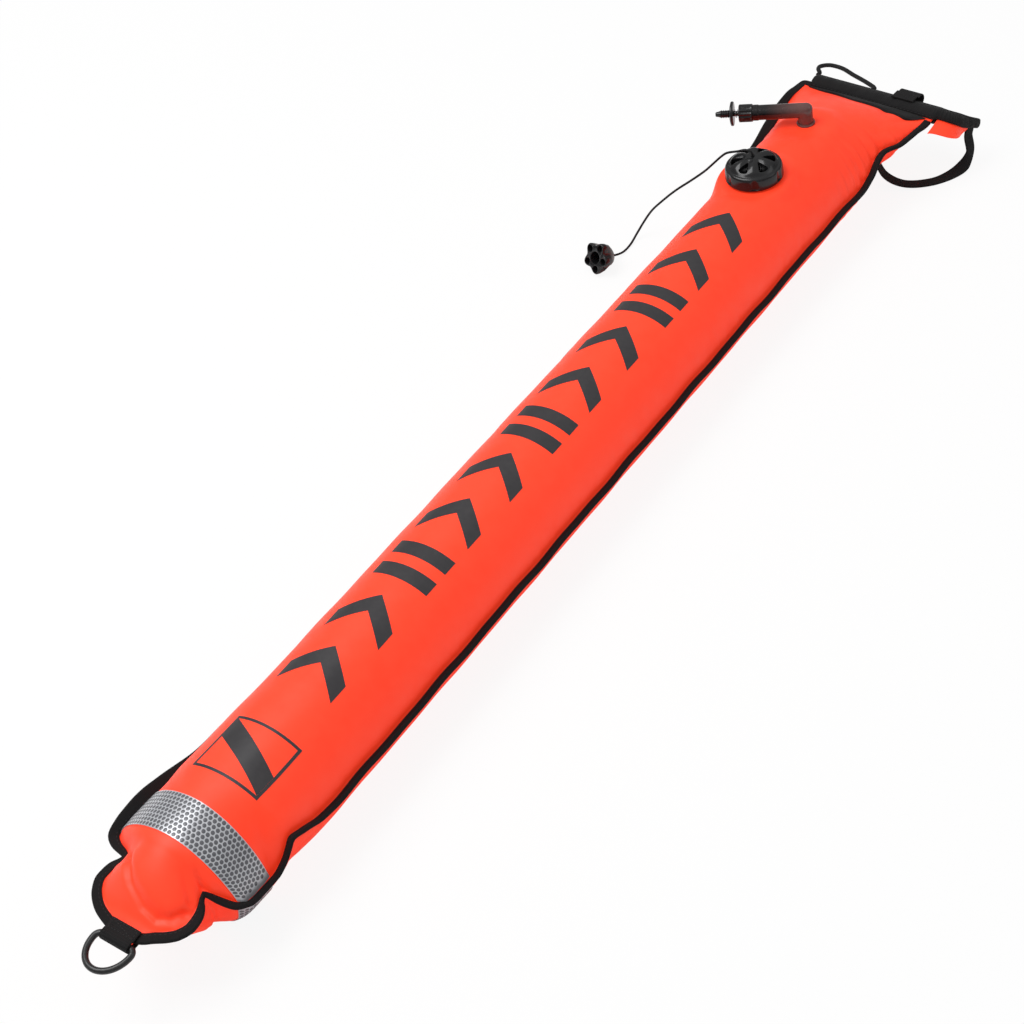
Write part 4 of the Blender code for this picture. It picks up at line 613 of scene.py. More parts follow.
def crease_depth(x, y, upper):
    """How far the creases draw the cloth in at one place of the plan."""
    depth = 0.0
    place = Vector((x, y))
    for start, end, deep, width, on_top in CREASES:
        if on_top != upper:
            continue
        away, share = near_line(place, start, end)
        away /= width
        if away < 3:
            depth += deep * exp(-away * away) * (1 - 0.8 * share)
    if upper and x < DOME_HEAD_SIDE:
        away = min(near_line(place, a, b)[0] for a, b in zip(DOME_FOOT, DOME_FOOT[1:]))
        away /= DOME_HALF_WIDTH
        depth += DOME_DEPTH * exp(-away * away)
    return depth


def gathers(x, turn):
    """Fine folds that run in from the welds and fade within a third of a radian."""
    from_weld = min(turn, pi - turn)
    near_head = exp(-(((HEAD_WELD_X - x) - 0.085) / 0.040) ** 2)
    near_foot = exp(-(((x - FOOT_WELD_X) - 0.060) / 0.030) ** 2)
    reach = PUCKER_REACH * (1 + 1.6 * near_head)
    fade = exp(-(from_weld / reach) ** 2) * min(from_weld / 0.10, 1.0)
    side = 1.7 if turn < pi / 2 else 0.0
    fold = (sin(2 * pi * x / 0.0105 + side) * 0.5 + sin(2 * pi * x / 0.0173 + 2 * side) * 0.35
            + sin(2 * pi * x / 0.0061 + 3 * side) * 0.15)
    patchy = 0.55 + 0.45 * sin(2 * pi * x / 0.131 + side)
    depth = PUCKER_DEPTH * patchy + HEAD_GATHER * near_head + PUCKER_DEPTH * near_foot
    return depth * fade * fold


def section_point(x, turn, upper, stand_off=0.0):
    """A point of the cloth at x, turned from 0 at the left weld to pi at the right weld."""
    rise = weld_rise(x, turn)
    y = half_width(x, turn) * cos(turn)
    round_share = max(sin(turn), 0.0)
    dent = crease_depth(x, y, upper) * min(round_share * 4, 1.0) + gathers(x, turn)
    if upper:
        swell = max(form(TOP, x) - rise - PANEL_THICKNESS, 0.0)
        swell *= round_share ** form(FULLNESS, x)
        height = lifted(x, y, rise + FLANGE_TOP + swell) - dent * sin(turn)
        sign = 1
    else:
        y += form(BELLY, x) * sin(2 * turn) * round_share
        swell = max(form(BOTTOM, x) + rise - PANEL_THICKNESS, 0.0)
        swell *= round_share ** (1 + UNDER_FULLNESS * (form(FULLNESS, x) - 1))
        height = rise - FLANGE_TOP - swell + dent * sin(turn)
        sign = -1
    y -= dent * cos(turn)
    height += weld_wave(x, turn) + sign * stand_off * sin(turn)
    return Vector((x, y + stand_off * cos(turn), max(AXIS_HEIGHT + height, 0.0)))

# %% Stations along the tube and the margin round it
LEFT_TILT = radians(29)
RIGHT_TILT = radians(21)
FOOT_TILT = radians(10)         # more turn near the foot, on the left
RIGHT_FOOT_TILT = radians(12)   # and on the right
# Near the foot this widens the black tape as well: partly the tape seen folded out, partly painted
# shade for the cloth under its fold.
FOOT_BROADER = 0.85             # the left margin's extra breadth near the foot
HEAD_BROADER = 0.50             # and near the head
RIGHT_NARROWER = 0.10


def flange_share(x, side):
    """Share of the margin's full width: less in the notch, more on the left near both ends."""
    from_foot, from_head = x - FOOT_WELD_X, HEAD_WELD_X - x
    away = (from_foot - NOTCH_FROM_FOOT) / NOTCH_REACH
    share = 1 - (1 - NOTCH_FLANGE_SHARE) * exp(-away * away)
    if side > 0:
        share += FOOT_BROADER * exp(-((from_foot - 0.085) / 0.032) ** 2)
        share += HEAD_BROADER * exp(-((from_head - 0.070) / 0.045) ** 2)
    else:
        share -= RIGHT_NARROWER * soft_step((from_foot - 0.045) / 0.02)
    return share


def fine_stations():
    """About 2 mm apart along the middle, closer at the two ends where the form changes."""
    xs = [FOOT_WELD_X]
    while xs[-1] < HEAD_WELD_X:
        away = min(xs[-1] - FOOT_WELD_X, HEAD_WELD_X - xs[-1])
        xs.append(xs[-1] + (0.0006 if away < 0.010 else 0.0011 if away < 0.13 else 0.0022))
    xs[-1] = HEAD_WELD_X
    return xs


def flange_offset(x, side):
    """How far the welded margin reaches out in plan from the weld line at x."""
    reach = 0.0040
    column = LEFT_HALF if side > 0 else RIGHT_HALF
    before, after = max(x - reach, FOOT_WELD_X), min(x + reach, HEAD_WELD_X)
    slope = (form(column, after) - form(column, before)) / (after - before)
    return Vector((-slope, float(side))).normalized() * SIDE_FLANGE * flange_share(x, side)


def flange_tilt(x, side):
    """The margins don't lie flat: both turn up a little, the left one more and most at the foot."""
    from_foot, from_head = x - FOOT_WELD_X, HEAD_WELD_X - x
    share = soft_step((from_foot - 0.044) / 0.014) * soft_step((from_head - 0.004) / 0.020)
    if side < 0:
        return (RIGHT_TILT + RIGHT_FOOT_TILT * exp(-((from_foot - 0.085) / 0.045) ** 2)) * share
    return (LEFT_TILT + FOOT_TILT * exp(-((from_foot - 0.085) / 0.050) ** 2)) * share


def flange_axes(x, side):
    """The margin's way out from the weld line at x, and the way up that is square to it."""
    way = flange_offset(x, side).normalized()
    tilt = flange_tilt(x, side)
    out = Vector((way.x * cos(tilt), way.y * cos(tilt), sin(tilt)))
    return out, Vector((-way.x * sin(tilt), -way.y * sin(tilt), cos(tilt)))


def head_reach(y):
    """How far the head's margin runs past its weld: full under the hem, round at the corner."""
    half = form(LEFT_HALF, HEAD_WELD_X)
    if y > half:
        share = min((y - half) / SIDE_FLANGE, 1.0)
        return SIDE_FLANGE * max(1 - share**3, 0.0001) ** (1 / 3)
    share = soft_step((y - HEM_LEFT) / 0.0033)
    return HEAD_FLANGE + (SIDE_FLANGE - HEAD_FLANGE) * share

# %% The two panels as one closed shell each
FINE_TURNS = 60
MARGIN_STEPS = 4
HEAD_STEPS = 6                  # rows of faces along the head's margin
VALVE_HOLE_RADIUS = 0.0210
INFLATOR_HOLE_RADIUS = 0.0079


def cloth_panel(upper):
    """Rows from margin to margin across the tube; the ends are closed by their own margins."""
    sign = 1 if upper else -1
    xs = fine_stations()
    rows, cloth = [], []
    for x in xs:
        margins = []
        middle = [section_point(x, pi * j / FINE_TURNS, upper) for j in range(FINE_TURNS + 1)]
        for side, at in ((1, middle[0]), (-1, middle[-1])):
            out, square = flange_axes(x, side)
            reach = SIDE_FLANGE * flange_share(x, side)
            if x == HEAD_WELD_X:
                out, square = Vector((0.0, side, 0.0)), Vector((0.0, 0.0, 1.0))
            shift = (square - Vector((0.0, 0.0, 1.0))) * FLANGE_TOP * sign
            margins.append([at + shift + out * (reach * step / MARGIN_STEPS)
                            for step in range(MARGIN_STEPS, 0, -1)])
        line = margins[0] + middle + margins[1][::-1]
        around = running_lengths(line)
        half = around[-1] / 2
        rows.append(line)
        cloth.append([(x, value - half) for value in around])
    return extend_ends(rows, cloth, sign)


def in_hole(corners):
    """True where a face lies in the hole under the valve or the inflator."""
    return any(all(hypot(p.x - at_x, p.y - FITTINGS_Y) < radius for p in corners)
               for at_x, radius in ((VALVE_X, VALVE_HOLE_RADIUS),
                                    (INFLATOR_X, INFLATOR_HOLE_RADIUS)))


def extend_ends(rows, cloth, sign):
    """Add the foot's and the head's margins, and make one layer of cloth that faces outwards."""
    foot_shares = [step / MARGIN_STEPS for step in range(MARGIN_STEPS, 0, -1)]
    head_shares = [step / HEAD_STEPS for step in range(1, HEAD_STEPS + 1)]
    edge_z = AXIS_HEIGHT + HEAD_RISE + sign * FLANGE_TOP
    grid = [[Vector((p.x - SIDE_FLANGE * share, p.y, p.z)) for p in rows[0]]
            for share in foot_shares]
    grid += rows
    grid += [[Vector((p.x + head_reach(p.y) * share, p.y, edge_z)) for p in rows[-1]]
             for share in head_shares]
    flats = [[(FOOT_WELD_X - SIDE_FLANGE * share, v) for u, v in cloth[0]]
             for share in foot_shares]
    flats += cloth
    flats += [[(HEAD_WELD_X + HEAD_FLANGE * share, v) for u, v in cloth[-1]]
              for share in head_shares]
    columns = len(grid[0])
    verts = [skewed(point) for line in grid for point in line]
    faces = []
    for i in range(len(grid) - 1):
        for j in range(columns - 1):
            a, b = i * columns + j, (i + 1) * columns + j
            faces.append((a, a + 1, b + 1, b) if sign > 0 else (a, b, b + 1, a + 1))
    if sign > 0:
        faces = [face for face in faces if not in_hole([verts[i] for i in face])]
    mesh = plain_mesh(verts, faces, [pair for line in flats for pair in line])
    mesh.shade_smooth()
    return mesh


def thickened(piece, thickness):
    """Give a single layer its wall on the inside, then keep the result as a plain mesh."""
    wall = piece.modifiers.new("wall", "SOLIDIFY")
    wall.thickness = thickness
    wall.offset = -1.0
    wall.use_quality_normals = True
    settled = settled_mesh(piece)
    piece.modifiers.clear()
    piece.data = settled


for half_name, upper in (("upper", True), ("lower", False)):
    fabric = add_piece(half_name + "_fabric", cloth_panel(upper), coated_nylon, "coated_nylon",
                       "buoy", half_name + "_panel")
    thickened(fabric, PANEL_THICKNESS)
    print(fabric.name, len(fabric.data.polygons), "faces with the cloth's thickness")

# %% [markdown]
# The floor is a plain pale sheet that keeps the object's shadow. Part of its brightness comes
# from the camera ray alone, and so does the white behind it, so the picture's ground is white
# without any more light on the buoy. Two soft lamps and a sky that is brighter overhead light it.

# %% Floor and light
FLOOR_HALF_SIZE = 6.0
FLOOR_DROP = 0.0004             # so the floor's sheet and the tube's underside don't share a plane
FLOOR_GREY = 0.86
SEEN_SHARE = 0.90               # how much of the floor's white only the camera sees
HORIZON_STRENGTH = 0.16
ZENITH_STRENGTH = 0.72
SEEN_STRENGTH = 1.0             # the camera sees plain white behind the floor
WHITE = (1.0, 1.0, 1.0, 1.0)


def pale_floor():
    """A wide sheet that shows a shadow, and is lighter to the camera than to the buoy."""
    size = FLOOR_HALF_SIZE
    mesh = plain_mesh([(-size, -size, 0), (size, -size, 0), (size, size, 0), (-size, size, 0)],
                      [(0, 1, 2, 3)])
    floor = placed("floor", mesh)
    floor.location.z = -FLOOR_DROP
    material = bpy.data.materials.new("pale_floor")
    material.use_nodes = True
    tree = material.node_tree
    shader = tree.nodes["Principled BSDF"]
    shader.inputs["Base Color"].default_value = (FLOOR_GREY, FLOOR_GREY, FLOOR_GREY, 1.0)
    shader.inputs["Roughness"].default_value = 0.9
    glow = wired(tree, "ShaderNodeEmission", {"Color": WHITE})
    path = tree.nodes.new("ShaderNodeLightPath")
    seen = math_node(tree, "MAXIMUM", path.outputs["Is Camera Ray"],
                     path.outputs["Is Transmission Ray"])
    share = math_node(tree, "MULTIPLY", seen, SEEN_SHARE)
    blend = wired(tree, "ShaderNodeMixShader",
                  {0: share, 1: shader.outputs[0], 2: glow.outputs[0]})
    tree.links.new(blend.outputs[0], tree.nodes["Material Output"].inputs["Surface"])
    mesh.materials.append(material)


def soft_light(name, place, target, size, power):
    """A square lamp aimed at a place."""
    data = bpy.data.lights.new(name, "AREA")
    data.size = size
    data.energy = power
    lamp = placed(name, data)
    lamp.location = place
    lamp.rotation_euler = (Vector(target) - Vector(place)).to_track_quat("-Z", "Y").to_euler()


def soft_sky():
    """Light from all round, stronger from above."""
    world = bpy.data.worlds.new("studio")
    world.use_nodes = True
    tree = world.node_tree
    way = tree.nodes.new("ShaderNodeTexCoord").outputs["Generated"]
    height = wired(tree, "ShaderNodeSeparateXYZ", {0: way}).outputs["Z"]
    strength = wired(tree, "ShaderNodeMapRange", {
        "To Min": HORIZON_STRENGTH, "To Max": ZENITH_STRENGTH, "Value": height})
    rays = tree.nodes.new("ShaderNodeLightPath")
    seen = wired(tree, "ShaderNodeMix", {
        "Factor": rays.outputs["Is Camera Ray"], "A": strength.outputs["Result"],
        "B": SEEN_STRENGTH})
    background = tree.nodes["Background"]
    background.inputs["Color"].default_value = WHITE
    tree.links.new(seen.outputs["Result"], background.inputs["Strength"])
    bpy.context.scene.world = world


pale_floor()
soft_light("high_soft_box", (-0.5, 0.9, 2.2), (0.0, 0.0, 0.0), 1.6, 42.0)
soft_light("side_soft_box", (0.9, -1.7, 1.3), (0.1, 0.0, 0.0), 1.0, 3.0)
soft_sky()

# %% [markdown]
# Woven tape is folded over the welded margin and sewn. It goes round the foot in one run. The
# profile is a flattened U, carried along the margin's own edge.

# %% Edge binding
def fold_profile(leg, inside, wall, puff, steps=8, leg_steps=5):
    """Tape folded over an edge, drawn round: outer face, fold, outer face, then the inner one."""
    outside = inside + wall
    top = []
    for i in range(leg_steps):
        t = i / leg_steps
        swell = puff * sin(pi * min(t + 0.12, 1.0))
        thinner = wall * 0.35 if i == 0 else 0.0
        top.append((-leg * (1 - t), outside + swell - thinner))
    arc = [(CLEARANCE + outside * 0.62 * sin(a), outside * cos(a))
           for a in (pi * k / steps for k in range(steps + 1))]
    outer = top + arc + [(side, -rise) for side, rise in reversed(top)]
    inner = [(-leg, -inside), (CLEARANCE * 0.5, -inside), (CLEARANCE * 0.5, inside), (-leg, inside)]
    return outer + inner


def weld_height(x, side):
    """Height of a side weld over the floor."""
    turn = 0.0 if side > 0 else pi
    return AXIS_HEIGHT + weld_rise(x, turn) + weld_wave(x, turn)


def edge_run():
    """The margin's edge from the hem's left end, round the foot, to head right.

    Each place has its way out, the way square to it, and the share of the tape's full reach.
    """
    runs = []
    for side in (1, -1):
        last = HEAD_WELD_X if side > 0 else HEAD_WELD_X - SIDE_BINDING_END
        xs = [x for x in fine_stations() if x < last] + [last]
        run = []
        for x in xs:
            out, square = flange_axes(x, side)
            at = Vector((x, side * form(LEFT_HALF if side > 0 else RIGHT_HALF, x),
                         weld_height(x, side)))
            share = flange_share(x, side)
            run.append((at + out * SIDE_FLANGE * share, out, square,
                        share * (1 - 0.28 * flange_tilt(x, side))))
        runs.append(run)
    left, right_run = runs
    return corner_run() + left[::-1] + right_run


def corner_run():
    """From the hem's left end along the head margin and round the left corner."""
    height = AXIS_HEIGHT + HEAD_RISE
    corner = Vector((HEAD_WELD_X, form(LEFT_HALF, HEAD_WELD_X), height))
    up = Vector((0.0, 0.0, 1.0))
    near_hem = HEM_LEFT + 0.0004
    straight_steps, turn_steps = 4, 8
    run = []
    for i in range(straight_steps):
        y = near_hem + (corner.y - near_hem) * i / straight_steps
        run.append((Vector((HEAD_WELD_X + SIDE_FLANGE, y, height)), Vector((1.0, 0.0, 0.0)),
                    up, 1.0))
    for i in range(turn_steps):
        a = pi / 2 * i / turn_steps
        reach = Vector((cos(a) ** (2 / 3), sin(a) ** (2 / 3), 0.0)) * SIDE_FLANGE
        run.append((corner + reach, Vector((cos(a), sin(a), 0.0)), up, 1.0))
    return run


def thinned(run, spacing):
    """Drop points closer than the spacing, so that the tape has even steps."""
    kept = [run[0]]
    for item in run[1:-1]:
        if (item[0] - kept[-1][0]).length >= spacing:
            kept.append(item)
    return kept + [run[-1]]


def rounded_run(run, spacing):
    """The same run with its places and ways out laid on one smooth curve."""
    run = thinned(run, spacing)
    out = []
    for i, item in enumerate(run):
        near = run[max(i - 2, 0):i + 3]
        way = sum((other[1] for other in near), Vector((0.0, 0.0, 0.0))).normalized()
        square = sum((other[2] for other in near), Vector((0.0, 0.0, 0.0)))
        out.append((item[0], way, square_to(square, way), item[3]))
    return out


TAPE_WALL = 0.0006
TAPE_PUFF = 0.00030             # the tape swells this much between its edge and its fold
TAPE_STEP = 0.0016              # between the places along its run
TAPE_PLAY = 0.00008             # between the tape's inside and the margin
binding_line = rounded_run(edge_run(), TAPE_STEP)
binding_path, binding_outs, binding_ups, binding_shares = zip(*binding_line)
binding_mesh = carried(
    binding_path, binding_outs, binding_ups,
    fold_profile(SIDE_FLANGE - 2 * CLEARANCE, FLANGE_TOP + TAPE_PLAY, TAPE_WALL, TAPE_PUFF),
    binding_shares, skewed)
add_piece("binding_tape", binding_mesh, black_tape, "black_tape", "buoy", "edge_binding")
print("binding run", round(running_lengths(binding_path)[-1], 3))

# %% [markdown]
# Stitches repeat along a line, so Geometry Nodes make them. A line of points becomes a curve, the
# curve is divided by the stitch length, and one small pillow of thread lies along it at each
# place. Realize Instances turns the result into a plain mesh, which the export needs.

# %% Stitches along a line
BINDING_STITCH = (0.0034, 0.0024, 0.00055)      # pitch, length and width of one stitch
HEM_STITCH = (0.0038, 0.0027, 0.0006)
BOX_STITCH = (0.0026, 0.0019, 0.0006)
THREAD_FLATNESS = 0.62


def new_tree(name, inputs):
    """An empty Geometry Nodes tree with its named inputs, and what its input node gives."""
    tree = bpy.data.node_groups.new(name, "GeometryNodeTree")
    sockets = {label: tree.interface.new_socket(name=label, in_out="INPUT", socket_type=kind)
               for label, kind in inputs}
    return tree, sockets, tree.nodes.new("NodeGroupInput").outputs


def hand_out(tree, name, instances, material):
    """Make the instances a real mesh, give it its material and hand it out under a name."""
    tree.interface.new_socket(name=name, in_out="OUTPUT", socket_type="NodeSocketGeometry")
    real = wired(tree, "GeometryNodeRealizeInstances", {"Geometry": instances})
    finish = wired(tree, "GeometryNodeSetMaterial",
                   {"Geometry": real.outputs["Geometry"], "Material": material})
    wired(tree, "NodeGroupOutput", {name: finish.outputs["Geometry"]})


def stitch_tree():
    """A node tree that lays stitches of one length along every line it is given."""
    tree, sockets, given = new_tree("stitch_line", (
        ("Lines", "NodeSocketGeometry"), ("Pitch", "NodeSocketFloat"),
        ("Stitch size", "NodeSocketVector"), ("Thread", "NodeSocketMaterial")))
    as_curve = wired(tree, "GeometryNodeMeshToCurve", {"Mesh": given["Lines"]})
    spaced = wired(tree, "GeometryNodeResampleCurve",
                   {"Curve": as_curve.outputs["Curve"], "Length": given["Pitch"]}, mode="LENGTH")
    pillow = wired(tree, "GeometryNodeMeshUVSphere", {"Segments": 6, "Rings": 4, "Radius": 0.5})
    sized = wired(tree, "GeometryNodeTransform",
                  {"Geometry": pillow.outputs["Mesh"], "Scale": given["Stitch size"]})
    tangent = tree.nodes.new("GeometryNodeInputTangent")
    aim = wired(tree, "FunctionNodeAlignRotationToVector",
                {"Vector": tangent.outputs["Tangent"]}, axis="X")
    laid = wired(tree, "GeometryNodeInstanceOnPoints", {
        "Points": spaced.outputs["Curve"], "Instance": sized.outputs["Geometry"],
        "Rotation": aim.outputs["Rotation"]})
    hand_out(tree, "Stitches", laid.outputs["Instances"], given["Thread"])
    return tree, sockets


stitch_nodes, stitch_sockets = stitch_tree()


def grown_by_nodes(mesh, tree, sockets, values):
    """Run a node tree on a mesh and give back the plain mesh that it makes."""
    helper = placed("helper", mesh)
    step = helper.modifiers.new("nodes", "NODES")
    step.node_group = tree
    for name, value in values.items():
        step[sockets[name].identifier] = value
    result = settled_mesh(helper)
    bpy.data.objects.remove(helper)
    return result


def sew(name, lines, stitch, slot="black_tape"):
    """One piece of stitches along several lines of points."""
    verts, edges = [], []
    for line in lines:
        first = len(verts)
        verts += [tuple(point) for point in line]
        edges += [(first + i, first + i + 1) for i in range(len(line) - 1)]
    mesh = bpy.data.meshes.new("stitch_lines")
    mesh.from_pydata(verts, edges, [])
    pitch, length, width = stitch
    sewn = grown_by_nodes(mesh, stitch_nodes, stitch_sockets, {
        "Pitch": pitch, "Stitch size": (length, width, width * THREAD_FLATNESS),
        "Thread": sewing_thread})
    sewn.shade_smooth()
    add_piece(name, sewn, sewing_thread, slot, "buoy")


binding_top = FLANGE_TOP + TAPE_WALL + TAPE_PUFF
for place_name, rise in (("binding_stitches_top", binding_top),
                         ("binding_stitches_under", -binding_top)):
    line = [skewed(place - out * SIDE_FLANGE * 0.60 * share + up * rise)
            for place, out, up, share in binding_line]
    sew(place_name, [line], BINDING_STITCH)

# %% [markdown]
# The head's margin lies in a sleeve of thick webbing, sewn down by two rows. It stands up in soft
# puffs between the rows and the fold. Past the right corner the sleeve runs on as a narrow ear,
# which holds a scrap of the envelope's own cloth.

# %% Hem along the head
EAR_TAPER = 0.44
EAR_THINNING = 0.60
EAR_TAPER_POWER = 0.45
EAR_STEPS = ((0.001, -0.007, -0.001), (0.007, -0.015, -0.005), (0.016, -0.021, -0.012),
             (0.027, -0.025, -0.020))
HEM_PUCKER = 0.00045            # small waves along the sleeve
HEM_END_SWELL = 0.0014          # and a thicker fold at its left end


def hem_run(steps=70, spacing=0.0011):
    """The head margin's edge, then the ear past the right corner: places, sides, ups, scales."""
    edge = HEAD_WELD_X + HEAD_FLANGE
    height = AXIS_HEIGHT + HEAD_RISE
    corner = form(RIGHT_HALF, HEAD_WELD_X) + SIDE_FLANGE
    points = [Vector((edge, HEM_LEFT - (HEM_LEFT + corner) * i / steps, height))
              for i in range(steps + 1)]
    straight = len(points)
    start = points[-1]
    ear = smooth_curve([start] + [start + Vector(step) for step in EAR_STEPS], spacing)[1:]
    points += ear
    sides, ups, scales = [], [], []
    for i in range(len(points)):
        lean = max(i - straight + 1, 0) / len(ear)
        side = Vector((1.0, -0.45 * lean, 0.25 * lean))
        along = direction_at(points, i)
        across = square_to(side, along)
        scale = 1 - (1 - EAR_TAPER) * lean ** EAR_TAPER_POWER
        sides.append(across)
        ups.append(along.cross(across) * (1 - EAR_THINNING * (1 - scale)))
        scales.append(scale)
    return points, sides, ups, scales, straight


def sleeve_profile(leg, inside, wall, puff):
    """Thick folded webbing: it swells between the sewn edge and the fold."""
    outside = inside + wall
    upper = []
    for k in range(13):
        t = k / 12
        lift = puff * sin(pi * min(t * 1.02, 1.0)) ** 0.65 * (1 - 0.25 * t)
        upper.append((-leg * (1 - t * 0.97), outside + lift - wall * 0.4 * (k == 0)))
    fold = [(CLEARANCE + wall * 0.95 * sin(a), outside * 0.96 * cos(a))
            for a in (pi * (k + 0.5) / 9 for k in range(9))]
    lower = [(side, -rise) for side, rise in reversed(upper)]
    inner = [(-leg, -inside), (CLEARANCE * 0.5, -inside), (CLEARANCE * 0.5, inside),
             (-leg, inside)]
    return upper + fold + lower + inner


hem_points, hem_sides, hem_ups, hem_scales, hem_straight = hem_run()
hem_profile = sleeve_profile(HEAD_FLANGE - 2 * CLEARANCE, BINDING_INSIDE, HEM_WALL, HEM_PUFF)


def hem_wave(i, j):
    """Soft puckers on the sleeve's two outer faces, none on its inner ones."""
    side, rise = hem_profile[j]
    if abs(rise) < HEM_OUTSIDE:
        return 0.0
    across = sin(pi * min(max(-side / HEAD_FLANGE, 0.0), 1.0))
    along = sin(i * 0.9) * 0.5 + sin(i * 0.37 + 1.0) * 0.8 + sin(i * 2.1 + 0.5) * 0.3
    swell = HEM_END_SWELL * across * exp(-((i - 7) / 7) ** 2)
    return (HEM_PUCKER * across * along + swell) * (1 if rise > 0 else -1)


hem_mesh = carried(hem_points, hem_sides, hem_ups, hem_profile, hem_scales, skewed, hem_wave)
add_piece("hem_sleeve", hem_mesh, black_webbing, "black_webbing", "buoy", "head_hem")


# Share of the way along the lip, and how far it reaches from the hem there
LIP_REACH = ((0.0, 0.0010), (0.22, 0.0055), (0.46, 0.0150), (0.80, 0.0155), (1.0, 0.0010))
LIP_LAST_TURN = 2.94            # where the lip ends, as a turn round the tube


def hem_lip():
    """The sleeve's loose upper edge, which lies in soft waves on the swelling cloth."""
    columns, rows = 90, 9
    start_turn = acos((HEM_LEFT - 0.0015) / form(LEFT_HALF, HEAD_WELD_X))
    top, under = [], []
    for i in range(columns + 1):
        t = i / columns
        turn = start_turn + (LIP_LAST_TURN - start_turn) * t
        at = max(k for k in range(len(LIP_REACH) - 1) if LIP_REACH[k][0] <= t)
        (t0, reach0), (t1, reach1) = LIP_REACH[at], LIP_REACH[at + 1]
        reach = reach0 + (reach1 - reach0) * soft_step((t - t0) / (t1 - t0))
        reach *= 1 + 0.02 * sin(33 * t)
        for j in range(rows):
            share = j / (rows - 1)
            x = HEAD_WELD_X - 0.0004 - (reach + 0.0006) * share
            edge = 1 - max(share - 0.8, 0.0) / 0.2
            swell = 0.0005 * sin(23 * t + 2 * share) * sin(pi * share)
            proud = 0.0004 + 0.0019 * sqrt(max(1 - (1 - edge) ** 2, 0.0)) + swell
            top.append(skewed(section_point(x, turn, True, proud)))
            under.append(skewed(section_point(x, turn, True, 0.0002)))
    flat = [(i * 0.0015, j * 0.001) for i in range(columns + 1) for j in range(rows)]
    return mesh_of(top + under, shell_faces(columns + 1, rows), flat + flat)


add_piece("hem_lip", hem_lip(), black_webbing, "black_webbing", "buoy")
rows = []
for share, proud in ((0.93, 0.0006), (0.12, 0.0007)):
    for sign in (1, -1):
        rows.append([skewed(point - side * HEAD_FLANGE * share + up * sign * (HEM_OUTSIDE + proud))
                     for point, side, up in zip(hem_points[2:hem_straight - 1], hem_sides[2:],
                                                hem_ups[2:])])
sew("hem_stitches", rows, HEM_STITCH, slot="black_webbing")

# %% Cloth held in the ear
EAR_CLOTH_OUT = 0.0180          # how far the scrap stands out of the ear
EAR_CLOTH_HALF = 0.0003         # half its thickness
EAR_CLOTH_LOSS = 0.90           # share of its width that is gone at the ear's tip
first = hem_straight + 1
last = len(hem_points) - 3
count = last - first
ear_reach = HEAD_FLANGE + EAR_CLOTH_OUT
ear_profile = [(-ear_reach + (ear_reach - 4 * CLEARANCE) * t, EAR_CLOTH_HALF)
               for t in (0.0, 0.2, 0.4, 0.6, 0.8, 1.0)]
ear_profile += [(side, -rise) for side, rise in reversed(ear_profile)]
ear_mesh = carried(hem_points[first:last], hem_sides[first:last],
                   [up.normalized() for up in hem_ups[first:last]], ear_profile,
                   [1.0 - EAR_CLOTH_LOSS * (i / (count - 1)) ** 0.8 for i in range(count)],
                   skewed)
add_piece("ear_cloth", ear_mesh, coated_nylon, "coated_nylon", "buoy", "corner_ear")

# %% [markdown]
# The ring tab, the head loop and the strap are flat webbing. A rounded rectangle is carried along
# the middle line of each, so the weave can follow its length.

# %% Webbing straps and folds
def edge_round_profile(width, thickness, steps=5):
    """A flat section with rounded edges."""
    radius = thickness / 2
    right_end = [(width / 2 - radius + radius * cos(a), radius * sin(a))
                 for a in (-pi / 2 + pi * k / steps for k in range(steps + 1))]
    middle_top = [(width * share, radius) for share in (0.3, 0.1, -0.1, -0.3)]
    left_end = [(-side, -rise) for side, rise in right_end]
    middle_low = [(-side, -rise) for side, rise in middle_top]
    return right_end + middle_top + left_end + middle_low


def webbing(path, ups, width, thickness):
    """Webbing along a path; each up is made square to the run first."""
    sides, square_ups = [], []
    for i, up in enumerate(ups):
        along = direction_at(path, i)
        up = square_to(up, along)
        square_ups.append(up)
        sides.append(up.cross(along))
    return carried(path, sides, square_ups, edge_round_profile(width, thickness))


def fold_tail(eye, gap):
    """Distance from the eye's middle to where the two legs lie together."""
    half_long, half_high = eye
    return half_long + abs(half_high - gap) * 0.8


def fold_line(eye, wall, gap, grip):
    """Middle line of webbing folded round an eye, in XZ, from one leg's end to the other's."""
    half_long, half_high = eye
    high = half_high + wall / 2
    rest = gap + wall / 2
    tail = fold_tail(eye, gap)
    upper = [(tail + grip * share, rest) for share in (1.0, 0.75, 0.5, 0.25, 0.0)]
    upper += [(half_long, high)]
    arc = [(high * cos(a) - (half_long - half_high), high * sin(a))
           for a in (radians(90 + 180 * k / 16) for k in range(17))]
    lower = [(x, -z) for x, z in reversed(upper)]
    line = [Vector((x, 0.0, z)) for x, z in upper + arc + lower]
    across = Vector((0.0, 1.0, 0.0))
    return line, [direction_at(line, i).cross(across) for i in range(len(line))]


RING_ROD = 0.0046
RING_PLAY = 0.0004
TAB_EYE_RADIUS = RING_ROD / 2 + RING_PLAY
RING_X = FOOT_WELD_X - SIDE_FLANGE - CLEARANCE - BINDING_WALL - TAB_EYE_RADIUS - CLEARANCE
RING_Z = AXIS_HEIGHT + FOOT_RISE
TAB_WALL = 0.0013
TAB_WIDTH = 0.0255
TAB_GRIP = 0.0085

tab_gap = BINDING_OUTSIDE + CLEARANCE
tab_eye = (TAB_EYE_RADIUS + 0.0001, TAB_EYE_RADIUS)
ring_place = Matrix.Translation((RING_X, 0.0, RING_Z))
tab_mesh = webbing(*fold_line(tab_eye, TAB_WALL, tab_gap, TAB_GRIP), TAB_WIDTH, TAB_WALL)
tab_mesh.transform(ring_place)
add_piece("ring_tab", tab_mesh, black_webbing, "black_webbing", "buoy", "d_ring_tab")

